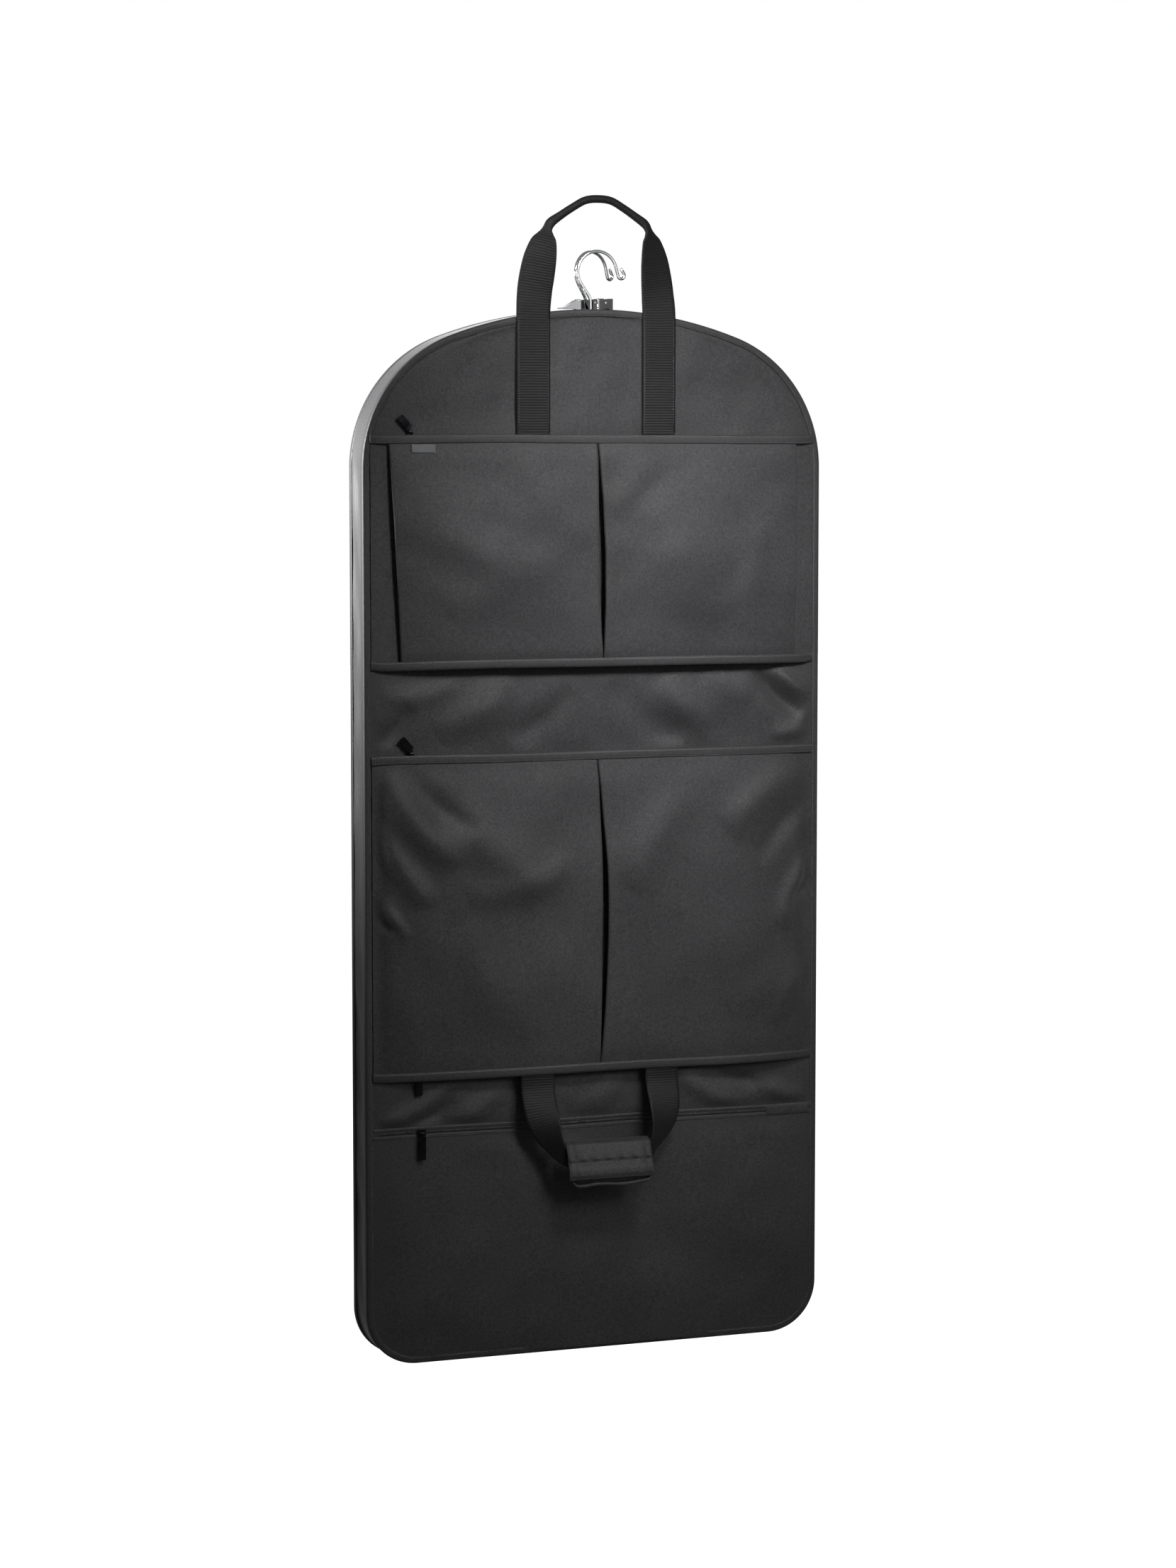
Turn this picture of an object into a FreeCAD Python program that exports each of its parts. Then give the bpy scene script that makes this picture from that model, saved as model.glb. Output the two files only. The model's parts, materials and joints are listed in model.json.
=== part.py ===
"""Hanging tri-fold garment bag, built as separate fabric, webbing, zip and clamp pieces.

Frame: millimetres, +Z up, +X to the right, the front (pocket side) faces -Y.
The origin is the point where the hanger hooks rest on a rail.
Heights on the bag are given as a drop below the top of its arched shoulder.
"""
import FreeCAD
import Part
import math
import os

Vector = FreeCAD.Vector

# ---- overall size ----------------------------------------------------------
bag_width = 612.0
bag_height = 1320.0
bag_depth = 56.0
crown_radius = 560.0        # middle of the shoulder arch
shoulder_radius = 174.0     # ends of the shoulder arch
corner_radius = 66.0        # two lower corners

# ---- levels down the bag ---------------------------------------------------
upper_band_drop = 156.0
upper_hem_drop = 435.0
lower_band_drop = 553.0
lower_hem_drop = 949.0
bottom_zip_drop = 1021.0
band_height = 11.0
zip_height = 11.0

# ---- sewn layers -----------------------------------------------------------
panel_wall = 2.0
binding_width = 9.0
binding_proud = 1.0
frame_wall = 2.0
lining_wall = 1.2
pocket_wall = 1.5
hem_wall = 2.5
section_gap = 0.3
skin_gap = 0.2

# ---- front pockets ---------------------------------------------------------
pocket_inset = 22.0         # side pleat between the binding and the raised pocket
pleat_width = 7.0           # slit between the left and right half
pocket_top_rise = 7.0
pocket_hem_rise = 17.0
pocket_room = 5.2           # depth of the flat pocket behind the bottom panel

label_side = 246.0          # left end of the woven label, from the centre line
label_width = 31.0
label_height = 10.0
label_wall = 0.6

# ---- zips ------------------------------------------------------------------
tape_wall = 0.6
coil_rise = 1.2
coil_width = 5.0
slider_width = 11.0
slider_height = 9.0
slider_wall = 2.0
pull_width = 9.0
pull_wall = 1.6
pull_length = 28.0
hinge_bar_radius = 0.65
hinge_eye_radius = 1.6
running_gap = 0.3
hinge_clearance = 0.1
lug_reach = 3.4
pull_rise = 3.5             # hinge of a tucked pull above its pocket band
pull_stem = 5.0
lug_wall = 1.2
lug_radius = 1.3
neck_wall = 1.0
zip_end_gap = 6.0
pull_tilt = 43.0            # the two upper pulls lean this far off vertical
slider_side = 246.0         # parked slider, distance from the centre line
back_gap = 24.0             # opening between the two back panels, under the main zip
main_slider_drop = 26.0
main_slider_end = 1288.0

# ---- webbing ---------------------------------------------------------------
strap_width = 45.0
strap_wall = 1.8
strap_centre = 84.0
top_handle_rise = 142.0
top_grip_half = 60.0
top_grip_wall = 9.0
handle_pivot_gap = 1.2
bottom_handle_tilt = 17.0
bottom_handle_out = 12.0    # pivot line in front of the bag's front
bottom_grip_drop = 112.0    # grip centre below the pivot line
grip_length = 105.0
grip_height = 58.0
grip_wall = 15.0
grip_core_height = 22.0
grip_core_wall = 6.0
flap_wall = 3.0
flap_gap = 0.4

# ---- hanger hooks ----------------------------------------------------------
wire_radius = 2.0
hook_radius = 26.0
hook_offset = 9.0
hook_rise = 47.0
hook_spacing = 17.0
rear_hook_turn = 22.0
shank_bend_radius = 14.0
shank_depth = 46.0
loop_radius = 4.2
bore_clearance = 0.05

# ---- hangers ---------------------------------------------------------------
hanger_wall = 12.0
hanger_half = 215.0
hanger_depth = 26.0
hanger_top_drop = 24.0
hanger_slope = 24.0

# ---- hanger clamp ----------------------------------------------------------
clamp_height = 13.0
clamp_side = 1.5           # block past the outermost shank
clamp_sheet = 1.5
clamp_left = -17.0
clamp_right = 30.0
jaw_gap = 0.3
jaw_travel = 2.5
lever_length = 24.0
lever_pin_radius = 1.5
lever_half_width = 6.6
lever_wall = 1.2

# ---- folds -----------------------------------------------------------------
fold_gap = 14.0             # air left between the folded layers

# ---- values that follow from the sizes above -------------------------------
half_width = bag_width / 2.0
clamp_half_depth = hook_spacing / 2.0 + wire_radius + clamp_side
shank_slot = hook_spacing / 2.0 + wire_radius + 1.0
half_depth = bag_depth / 2.0
hang_height = hook_rise + math.sqrt(hook_radius ** 2 - hook_offset ** 2) - wire_radius
apex_z = -hang_height
front_y = -half_depth
back_y = half_depth
panel_edge = half_width - binding_width
upper_fold_top = upper_hem_drop + band_height
upper_fold_drop = (upper_fold_top + lower_band_drop) / 2.0
lower_fold_top = lower_hem_drop + band_height
lower_fold_drop = (lower_fold_top + bottom_zip_drop) / 2.0
upper_fold_y = bag_depth + fold_gap
lower_fold_y = half_depth + fold_gap / 2.0
tape_front = front_y - tape_wall
coil_front = tape_front - coil_rise
slider_back = coil_front - running_gap
slider_front = slider_back - slider_wall
pull_axis = slider_front - hinge_eye_radius - running_gap
strap_back = front_y - binding_proud - skin_gap
strap_front = strap_back - strap_wall
strap_mid = strap_back - strap_wall / 2.0
neck_back = strap_front - running_gap
band_back = min(slider_front, neck_back - neck_wall) - running_gap
band_front = band_back - pocket_wall
top_pivot_drop = 1.0
bottom_pivot_y = front_y - bottom_handle_out
bottom_pivot_drop = lower_fold_top + 4.0


def level(drop):
    """Height of a place that lies this far below the top of the arch."""
    return apex_z - drop


def block(x0, x1, y0, y1, top_drop, low_drop):
    """Box between two X, two Y and two drops."""
    corner = Vector(x0, y0, level(low_drop))
    return Part.makeBox(x1 - x0, y1 - y0, low_drop - top_drop, corner)


def prism_y(points, y0, y1):
    """Solid with an X-Z outline, given as (x, drop), from y0 to y1."""
    corners = [Vector(x, y0, level(drop)) for x, drop in points]
    face = Part.Face(Part.makePolygon(corners + corners[:1]))
    return face.extrude(Vector(0, y1 - y0, 0))


def prism_x(points, x0, x1):
    """Solid with a Y-Z outline, given as (y, drop), from x0 to x1."""
    corners = [Vector(x0, y, level(drop)) for y, drop in points]
    face = Part.Face(Part.makePolygon(corners + corners[:1]))
    return face.extrude(Vector(x1 - x0, 0, 0))


def prism_z(points, top_drop, low_drop):
    """Solid with an X-Y outline between two drops."""
    corners = [Vector(x, y, level(low_drop)) for x, y in points]
    face = Part.Face(Part.makePolygon(corners + corners[:1]))
    return face.extrude(Vector(0, 0, low_drop - top_drop))


def group(shapes):
    """Several separate solids kept together in one node."""
    solids = []
    for shape in shapes:
        solids.extend(shape.Solids)
    return Part.makeCompound(solids)


def mirrored(shape):
    """The same shape on the other side of the centre line."""
    return shape.mirror(Vector(0, 0, 0), Vector(1, 0, 0))


def cylinder_x(radius, x0, x1, y, drop):
    return Part.makeCylinder(radius, x1 - x0, Vector(x0, y, level(drop)), Vector(1, 0, 0))


def cylinder_y(radius, y0, y1, x, drop):
    return Part.makeCylinder(radius, y1 - y0, Vector(x, y0, level(drop)), Vector(0, 1, 0))


# ---- bag shell --------------------------------------------------------------

def outline_solid(inset, y0, y1):
    """The whole bag outline, moved in by the inset, from y0 to y1."""
    crown = crown_radius - inset
    shoulder = shoulder_radius - inset
    corner = corner_radius - inset
    side = half_width - inset
    crown_z = level(crown_radius)
    shoulder_x = half_width - shoulder_radius
    shoulder_z = crown_z + math.sqrt((crown_radius - shoulder_radius) ** 2 - shoulder_x ** 2)
    turn = math.atan2(shoulder_z - crown_z, shoulder_x)
    corner_x = half_width - corner_radius
    corner_z = level(bag_height - corner_radius)

    def on_arc(centre_x, centre_z, radius, angle):
        return Vector(centre_x + radius * math.cos(angle), y0, centre_z + radius * math.sin(angle))

    join_right = on_arc(0, crown_z, crown, turn)
    join_left = Vector(-join_right.x, y0, join_right.z)
    side_top = Vector(side, y0, shoulder_z)
    side_low = Vector(side, y0, corner_z)
    floor_right = Vector(corner_x, y0, corner_z - corner)
    shoulder_mid = on_arc(shoulder_x, shoulder_z, shoulder, turn / 2.0)
    corner_mid = on_arc(corner_x, corner_z, corner, -math.pi / 4.0)

    def flip(point):
        return Vector(-point.x, point.y, point.z)

    edges = [
        Part.Arc(join_left, Vector(0, y0, crown_z + crown), join_right).toShape(),
        Part.Arc(join_right, shoulder_mid, side_top).toShape(),
        Part.LineSegment(side_top, side_low).toShape(),
        Part.Arc(side_low, corner_mid, floor_right).toShape(),
        Part.LineSegment(floor_right, flip(floor_right)).toShape(),
        Part.Arc(flip(floor_right), flip(corner_mid), flip(side_low)).toShape(),
        Part.LineSegment(flip(side_low), flip(side_top)).toShape(),
        Part.Arc(flip(side_top), flip(shoulder_mid), join_left).toShape(),
    ]
    return Part.Face(Part.Wire(edges)).extrude(Vector(0, y1 - y0, 0))


def slice_of(shape, top_drop, low_drop):
    """The stretch of a shape between two drops."""
    return shape.common(block(-bag_width, bag_width, -bag_width, bag_width, top_drop, low_drop))


def edge_strip(outer_inset, inner_inset, y0, y1):
    """Strip that follows the bag outline."""
    return outline_solid(outer_inset, y0, y1).cut(outline_solid(inner_inset, y0, y1))


def inside_bindings(shape):
    """What is left of a front piece when it stops at the seam binding."""
    return shape.common(outline_solid(binding_width, -bag_depth * 2, back_y))


def front_panel(top_drop, low_drop):
    shape = outline_solid(binding_width, front_y, front_y + panel_wall)
    return slice_of(shape, top_drop, low_drop)


def back_panels(top_drop, low_drop):
    """Left and right back panel, either side of the main zip."""
    shape = outline_solid(binding_width, back_y - panel_wall, back_y)
    slot = block(-back_gap / 2.0, back_gap / 2.0, 0, bag_depth, -bag_height, 2 * bag_height)
    return group([slice_of(shape.cut(slot), top_drop, low_drop)])


def gusset(top_drop, low_drop):
    """The boxed side wall between the front and back bindings."""
    strip = edge_strip(binding_proud, binding_proud + panel_wall,
                       front_y + panel_wall, back_y - panel_wall)
    return group([slice_of(strip, top_drop, low_drop)])


def bindings(top_drop, low_drop):
    """Folded tape that closes the front and back seams."""
    front = edge_strip(0, binding_width, front_y - binding_proud, front_y + panel_wall)
    back = edge_strip(0, binding_width, back_y - panel_wall, back_y + binding_proud)
    return group([slice_of(front, top_drop, low_drop), slice_of(back, top_drop, low_drop)])


def main_zip(top_drop, low_drop):
    """Tape and coil of the full-length zip on the back."""
    y0 = back_y - panel_wall
    tape = block(-back_gap / 2.0, back_gap / 2.0, y0, y0 + tape_wall, top_drop, low_drop)
    coil = block(-coil_width / 2.0, coil_width / 2.0, y0 + tape_wall, y0 + tape_wall + coil_rise,
                 top_drop, low_drop)
    return tape.fuse(coil).removeSplitter()


def clamp_opening():
    return block(clamp_left - lever_length, clamp_right + 2.0, -clamp_half_depth - 2.5,
                 clamp_half_depth + 2.5, -20.0, binding_width + 4.0)


def top_gusset():
    return group([gusset(-20.0, upper_fold_top).cut(clamp_opening())])


def shoulder_frame():
    """Springy bow inside the arch that carries the hanger clamp."""
    inner = binding_proud + panel_wall + skin_gap
    strip = edge_strip(inner, inner + frame_wall, front_y + 8.0, back_y - 8.0)
    bow = slice_of(strip, -20.0, upper_band_drop)
    slot = block(-wire_radius * 3, wire_radius * 3, -shank_slot, shank_slot, -20.0, 30.0)
    return bow.cut(slot)


def bottom_lining():
    """Inner wall of the flat pocket behind the bottom panel."""
    y0 = front_y + panel_wall + pocket_room
    inset = binding_proud + panel_wall + skin_gap
    sheet = outline_solid(inset, y0, y0 + lining_wall)
    return slice_of(sheet, bottom_zip_drop + skin_gap, bag_height)


# ---- raised pockets ---------------------------------------------------------

def pocket_half(band_drop, hem_drop, side):
    """One half of a bellows pocket: a wedge of fabric, open towards the bag."""
    back = front_y - skin_gap
    top = band_drop + band_height
    rise_top = front_y - pocket_top_rise
    rise_low = front_y - pocket_hem_rise
    wall = pocket_wall
    x_in = pleat_width / 2.0
    x_out = panel_edge - pocket_inset
    outer = prism_x([(back, top), (rise_top, top), (rise_low, hem_drop), (back, hem_drop)],
                    x_in, x_out)
    inner = prism_x([(back + 1, top + wall), (rise_top + wall, top + wall),
                     (rise_low + wall, hem_drop - wall), (back + 1, hem_drop - wall)],
                    x_in + wall, x_out - wall)
    shell = outer.cut(inner)
    # the zip tape hangs into the mouth of the pocket
    mouth = block(x_in - 1, x_out + 1, tape_front - skin_gap, back + 1, top - 1, top + wall + 1)
    shell = shell.cut(mouth)
    return shell if side > 0 else mirrored(shell)


def pocket_bindings(band_drop, hem_drop):
    """Straight band along the mouth and the bowed hem along the lower edge."""
    band = block(-panel_edge, panel_edge, band_front, band_back,
                 band_drop, band_drop + band_height - skin_gap)
    y_end = front_y - binding_proud
    y_out = front_y - pocket_hem_rise - hem_wall
    x_out = panel_edge - pocket_inset
    plan = [(-panel_edge, y_end), (-panel_edge, y_end - hem_wall), (-x_out, y_out), (x_out, y_out),
            (panel_edge, y_end - hem_wall), (panel_edge, y_end), (x_out, y_out + hem_wall),
            (-x_out, y_out + hem_wall)]
    hem = prism_z(plan, hem_drop, hem_drop + band_height)
    return group([inside_bindings(band), hem])


def zip_strip(x0, x1, centre_drop):
    """Tape with its coil, lying on the bag's front."""
    half = zip_height / 2.0
    tape = block(x0, x1, tape_front, front_y, centre_drop - half, centre_drop + half)
    coil = block(x0, x1, coil_front, tape_front,
                 centre_drop - coil_width / 2.0, centre_drop + coil_width / 2.0)
    return inside_bindings(tape.fuse(coil).removeSplitter())


def pocket_zip(band_drop):
    return zip_strip(-panel_edge + zip_end_gap, panel_edge - zip_end_gap, band_drop + band_height / 2.0)


def bottom_zip():
    """Zip of the bottom pocket with the fabric tabs that cover its two ends."""
    centre = bottom_zip_drop + zip_height / 2.0
    start = -slider_side - 12.0
    end = panel_edge - 42.0
    strip = zip_strip(start, end, centre)
    tabs = []
    for x0, x1 in ((-panel_edge, start), (end, panel_edge)):
        tabs.append(block(x0, x1, tape_front - tape_wall, front_y, bottom_zip_drop,
                          bottom_zip_drop + zip_height))
    return group([strip] + tabs)


def woven_label():
    """Blank label that hangs from the seam of the upper pocket's mouth."""
    top = upper_band_drop + band_height + 1.0
    low = top + label_height
    span = upper_hem_drop - upper_band_drop - band_height
    slope = (pocket_hem_rise - pocket_top_rise) / span
    y0 = front_y - pocket_top_rise - slope * (low - upper_band_drop - band_height) - skin_gap
    return block(-label_side, -label_side + label_width, y0 - label_wall, y0, top, low)


# ---- zip sliders and pulls --------------------------------------------------

def hinge_lugs(x, drop, plate_y, axis_y):
    """Two lugs and a bar that hold a pull in front of the slider plate."""
    shapes = []
    inner = lug_reach - lug_wall
    y0 = min(plate_y, axis_y)
    y1 = max(plate_y, axis_y)
    for side in (-1, 1):
        x0 = x + min(side * inner, side * lug_reach)
        shapes.append(block(x0, x0 + lug_wall, y0, y1, drop - lug_radius, drop + lug_radius))
        shapes.append(cylinder_x(lug_radius, x0, x0 + lug_wall, axis_y, drop))
    shapes.append(cylinder_x(hinge_bar_radius, x - inner, x + inner, axis_y, drop))
    return shapes


def joined(shapes):
    return shapes[0].multiFuse(shapes[1:]).removeSplitter()


def front_slider(x, drop):
    """Slider on a zip that runs across the bag, its pull hinged on the plate."""
    plate = block(x - slider_width / 2.0, x + slider_width / 2.0, slider_front, slider_back,
                  drop - slider_height / 2.0, drop + slider_height / 2.0)
    return joined([plate] + hinge_lugs(x, drop, slider_front, pull_axis))


def tucked_slider(x, band_drop):
    """Slider behind a pocket band, with a neck that lifts the pull over the band."""
    drop = band_drop + band_height / 2.0
    hinge_drop = band_drop - pull_rise
    plate = block(x - slider_width / 2.0, x + slider_width / 2.0, slider_front, slider_back,
                  drop - slider_height / 2.0, drop + slider_height / 2.0)
    neck = block(x - slider_width / 3.0, x + slider_width / 3.0, neck_back - neck_wall, neck_back,
                 hinge_drop - lug_radius, drop)
    bridge = block(x - slider_width / 3.0, x + slider_width / 3.0, min(slider_front, neck_back - neck_wall),
                   slider_back, drop - slider_height / 2.0, drop)
    return joined([plate, bridge, neck] + hinge_lugs(x, hinge_drop, neck_back - neck_wall, pull_axis))


def pull_tab(x, drop, axis_y, length, lean):
    """Flat pull on its eye. It hangs down, or it stands up and leans to the left."""
    half = lug_reach - lug_wall - running_gap
    y0 = axis_y - pull_wall / 2.0
    y1 = axis_y + pull_wall / 2.0
    eye = cylinder_x(hinge_eye_radius, x - half, x + half, axis_y, drop)
    stem = block(x - half, x + half, y0, y1, drop, drop + pull_stem)
    tab = block(x - pull_width / 2.0, x + pull_width / 2.0, y0, y1,
                drop + pull_stem - 0.4, drop + length)
    if lean:
        centre = Vector(x, axis_y, level(drop))
        knee = Vector(x, axis_y, level(drop - pull_stem + 1.0))
        stem = stem.rotate(centre, Vector(0, 1, 0), 180)
        tab = tab.rotate(centre, Vector(0, 1, 0), 180).rotate(knee, Vector(0, 1, 0), -lean)
    hole = cylinder_x(hinge_bar_radius + hinge_clearance, x - half - 1, x + half + 1, axis_y, drop)
    return joined([eye, stem, tab]).cut(hole)


def main_slider_face():
    """Outer face of the back zip's slider plate."""
    return back_y - panel_wall + tape_wall + coil_rise + running_gap + slider_wall


def main_pull_axis():
    return main_slider_face() + hinge_eye_radius + running_gap


def main_slider():
    """Slider of the long zip; it sits on the back, so its pull faces +Y."""
    face = main_slider_face()
    plate = block(-slider_height / 2.0, slider_height / 2.0, face - slider_wall, face,
                  main_slider_drop - slider_width / 2.0, main_slider_drop + slider_width / 2.0)
    return joined([plate] + hinge_lugs(0, main_slider_drop, face, main_pull_axis()))


# ---- webbing handles --------------------------------------------------------

def strap_anchors():
    """Webbing sewn down the front, from above the arch to the pocket band."""
    shapes = []
    for side in (-1, 1):
        x0 = side * strap_centre - strap_width / 2.0
        shapes.append(block(x0, x0 + strap_width, strap_front, strap_back,
                            top_pivot_drop + handle_pivot_gap + 0.6, upper_band_drop))
    return group(shapes)


def top_handle():
    """Webbing arch: two straps that rise and fold into one narrow grip."""
    low = top_pivot_drop - handle_pivot_gap
    outer = strap_centre + strap_width / 2.0
    inner = strap_centre - strap_width / 2.0
    right = [(inner, low), (outer, low), (outer - 3, -24), (outer - 14, -58), (outer - 30, -86),
             (top_grip_half + 6, -106), (top_grip_half - 3, -100), (inner - 7, -82), (inner - 4, -45)]
    strap = prism_y(right, strap_front, strap_back)
    rise = top_handle_rise
    arc = [Vector(-top_grip_half - 5, strap_front, level(-100)),
           Vector(0, strap_front, level(-rise)),
           Vector(top_grip_half + 5, strap_front, level(-100))]
    grip_outer = Part.Arc(*arc).toShape()
    circle = grip_outer.Curve
    centre = circle.Center
    radius = circle.Radius
    disc_out = Part.makeCylinder(radius, grip_depth(), centre + Vector(0, -strap_wall / 2.0, 0),
                                 Vector(0, 1, 0))
    disc_in = Part.makeCylinder(radius - top_grip_wall, grip_depth(),
                                centre + Vector(0, -strap_wall / 2.0, 0), Vector(0, 1, 0))
    span = block(-top_grip_half - 6, top_grip_half + 6, -bag_depth * 2, bag_depth * 2,
                 -rise - 5, -97)
    grip = disc_out.cut(disc_in).common(span)
    return joined([grip, strap, mirrored(strap)])


def grip_depth():
    return strap_wall * 2.0


def tilt_bottom(shape):
    """Lean the lower handle outwards about its pivot line."""
    pivot = Vector(0, bottom_pivot_y, level(bottom_pivot_drop))
    return shape.rotate(pivot, Vector(1, 0, 0), -bottom_handle_tilt)


def bottom_handle():
    """Webbing loop: two straps and the folded core inside the grip wrap."""
    top = bottom_pivot_drop
    outer = strap_centre + strap_width / 2.0
    inner = strap_centre - strap_width / 2.0
    grip_mid = bottom_pivot_drop + bottom_grip_drop
    core_top = grip_mid - grip_core_height / 2.0
    core_low = grip_mid + grip_core_height / 2.0
    grip_x = grip_length / 2.0
    right = [(inner, top), (outer, top), (outer - 1, top + 36), (outer - 12, top + 70),
             (outer - 34, top + 96), (grip_x, core_low), (grip_x, core_top), (inner - 4, top + 70),
             (inner - 1, top + 36)]
    y0 = bottom_pivot_y - strap_wall / 2.0
    strap = prism_y(right, y0, y0 + strap_wall)
    core = block(-grip_x, grip_x, bottom_pivot_y - grip_core_wall / 2.0,
                 bottom_pivot_y + grip_core_wall / 2.0, core_top, core_low)
    return tilt_bottom(joined([strap, mirrored(strap), core]))


def grip_pad():
    """Padded wrap round the folded core, with rounded lower corners."""
    mid = bottom_pivot_drop + bottom_grip_drop
    x = grip_length / 2.0
    y = grip_wall / 2.0
    pad = block(-x, x, bottom_pivot_y - y, bottom_pivot_y + y,
                mid - grip_height / 2.0, mid + grip_height / 2.0)
    long_edges = [edge for edge in pad.Edges if edge.BoundBox.XLength > grip_length - 1]
    pad = pad.makeFillet(y * 0.8, long_edges)
    tunnel = block(-x - 1, x + 1, bottom_pivot_y - grip_core_wall / 2.0,
                   bottom_pivot_y + grip_core_wall / 2.0,
                   mid - grip_core_height / 2.0, mid + grip_core_height / 2.0)
    return tilt_bottom(pad.cut(tunnel))


def flap_axis_y():
    return bottom_pivot_y - grip_wall / 2.0 - flap_gap - flap_wall / 2.0


def grip_flap():
    """Front flap of the wrap, held shut by hook-and-loop tape."""
    top = bottom_pivot_drop + bottom_grip_drop - grip_height / 2.0
    y = flap_axis_y()
    x = grip_length / 2.0 + 2.0
    flap = block(-x, x, y - flap_wall / 2.0, y + flap_wall / 2.0, top, top + grip_height - 8)
    return tilt_bottom(flap)


# ---- hanger hooks and hangers -----------------------------------------------

def hook_wire(y, turn):
    """Chrome wire hook in its own plane, then turned about its shank."""
    start = Vector(0, 0, level(shank_depth))
    centre = Vector(hook_offset, 0, level(-hook_rise))

    def on_circle(angle):
        a = math.radians(angle)
        return centre + Vector(hook_radius * math.cos(a), 0, hook_radius * math.sin(a))

    lean = 35.0
    low_angle = 180.0 + lean
    leave_angle = 15.0
    join = on_circle(low_angle)
    slope = math.radians(lean)
    run = -join.x / math.sin(slope)
    corner = Vector(0, 0, join.z - run * math.cos(slope))
    tangent = shank_bend_radius * math.tan(slope / 2.0)
    bend_start = corner - Vector(0, 0, tangent)
    bend_end = corner + Vector(-math.sin(slope), 0, math.cos(slope)) * tangent
    bend_centre = bend_start + Vector(-shank_bend_radius, 0, 0)
    half = slope / 2.0
    bend_mid = bend_centre + Vector(math.cos(half), 0, math.sin(half)) * shank_bend_radius
    leave = on_circle(leave_angle)
    heading = math.radians(leave_angle - 90.0)
    drop_end = leave + Vector(math.cos(heading), 0, math.sin(heading)) * 12.0
    loop_centre = drop_end + Vector(-math.sin(heading), 0, math.cos(heading)) * loop_radius

    def on_loop(angle):
        return loop_centre + Vector(math.sin(angle), 0, -math.cos(angle)) * loop_radius

    loop_exit = math.radians(120.0)
    loop_mid = on_loop((heading + loop_exit) / 2.0)
    loop_end = on_loop(loop_exit)
    tip = loop_end + Vector(math.cos(loop_exit), 0, math.sin(loop_exit)) * 8.0
    edges = [
        Part.LineSegment(start, bend_start).toShape(),
        Part.Arc(bend_start, bend_mid, bend_end).toShape(),
        Part.LineSegment(bend_end, join).toShape(),
        Part.Arc(join, on_circle((low_angle + leave_angle) / 2.0), leave).toShape(),
        Part.LineSegment(leave, drop_end).toShape(),
        Part.Arc(drop_end, loop_mid, loop_end).toShape(),
        Part.LineSegment(loop_end, tip).toShape(),
    ]
    section = Part.Wire(Part.makeCircle(wire_radius, start, Vector(0, 0, 1)))
    hook = Part.Wire(edges).makePipeShell([section], True, False)
    hook = hook.rotate(Vector(0, 0, 0), Vector(0, 0, 1), turn)
    return hook.translate(Vector(0, y, 0))


def hanger(y):
    """Wooden hanger with a bore that lets its hook swivel."""
    fall = (hanger_half - 20) * math.tan(math.radians(hanger_slope))
    top = hanger_top_drop
    right = [(0, top), (18, top), (45, top + 12), (hanger_half - 6, top + fall - 6),
             (hanger_half, top + fall + 8), (hanger_half - 12, top + fall + 16),
             (50, top + 12 + hanger_depth), (0, top + hanger_depth)]
    arm = prism_y(right, y - hanger_wall / 2.0, y + hanger_wall / 2.0)
    body = joined([arm, mirrored(arm)])
    bore = Part.makeCylinder(wire_radius + bore_clearance, hanger_depth * 2,
                             Vector(0, y, level(top + hanger_depth * 1.5)), Vector(0, 0, 1))
    return body.cut(bore)


# ---- hanger clamp -----------------------------------------------------------

lever_pin_x = clamp_left + 2.5
lever_pin_drop = -clamp_height + 2.0
base_drop = binding_proud + panel_wall + skin_gap
pad_left = wire_radius + jaw_gap
upright_left = 7.8
end_block_left = upright_left + clamp_sheet + 1.0


def clamp_channel():
    """Plated steel channel: base plate, middle upright and the two lever ears."""
    base = block(clamp_left, clamp_right, -clamp_half_depth - 1, clamp_half_depth + 1,
                 base_drop - clamp_sheet, base_drop - skin_gap / 2.0)
    upright = block(upright_left, end_block_left, -clamp_half_depth - 1, clamp_half_depth + 1,
                    -clamp_height, base_drop - clamp_sheet)
    ears = []
    for side in (-1, 1):
        y0 = side * lever_half_width + side * running_gap
        y1 = y0 + side * clamp_sheet
        ears.append(block(clamp_left, clamp_left + 4.5, min(y0, y1), max(y0, y1),
                          -clamp_height, base_drop - clamp_sheet))
    slot = block(-pad_left, pad_left, -shank_slot, shank_slot, -clamp_height - 1, base_drop + 1)
    pin_hole = cylinder_y(lever_pin_radius, -clamp_half_depth, clamp_half_depth,
                          lever_pin_x, lever_pin_drop)
    return joined([base, upright] + ears).cut(slot).cut(pin_hole)


def clamp_pad():
    """Fixed rubber-faced block that the hook shanks are pressed against."""
    return block(pad_left, upright_left, -clamp_half_depth, clamp_half_depth,
                 -clamp_height + 0.5, base_drop - clamp_sheet)


def clamp_jaw():
    """Sliding block that the lever pushes against the hook shanks."""
    slider = block(-9.0, -pad_left, -clamp_half_depth, clamp_half_depth,
                   -clamp_height + 0.5, base_drop - clamp_sheet - running_gap)
    window = block(-7.5, -4.0, -clamp_half_depth - 1, clamp_half_depth + 1,
                   base_drop - clamp_sheet - 3.0, base_drop - clamp_sheet - 1.0)
    return slider.cut(window)


def clamp_end_block():
    """Moulded end housing with a notched top and a rib window near its foot."""
    body = block(end_block_left, clamp_right - 1.0, -clamp_half_depth, clamp_half_depth,
                 -clamp_height - 1.0, base_drop - clamp_sheet)
    middle = (end_block_left + clamp_right) / 2.0
    notch = block(middle - 3.5, middle + 3.5, -clamp_half_depth - 1, clamp_half_depth + 1,
                  -clamp_height - 2.0, -clamp_height)
    window = block(middle - 4.0, middle + 4.0, -clamp_half_depth - 1, clamp_half_depth + 1,
                   base_drop - clamp_sheet - 3.0, base_drop - clamp_sheet - 1.0)
    return body.cut(notch).cut(window)


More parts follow.
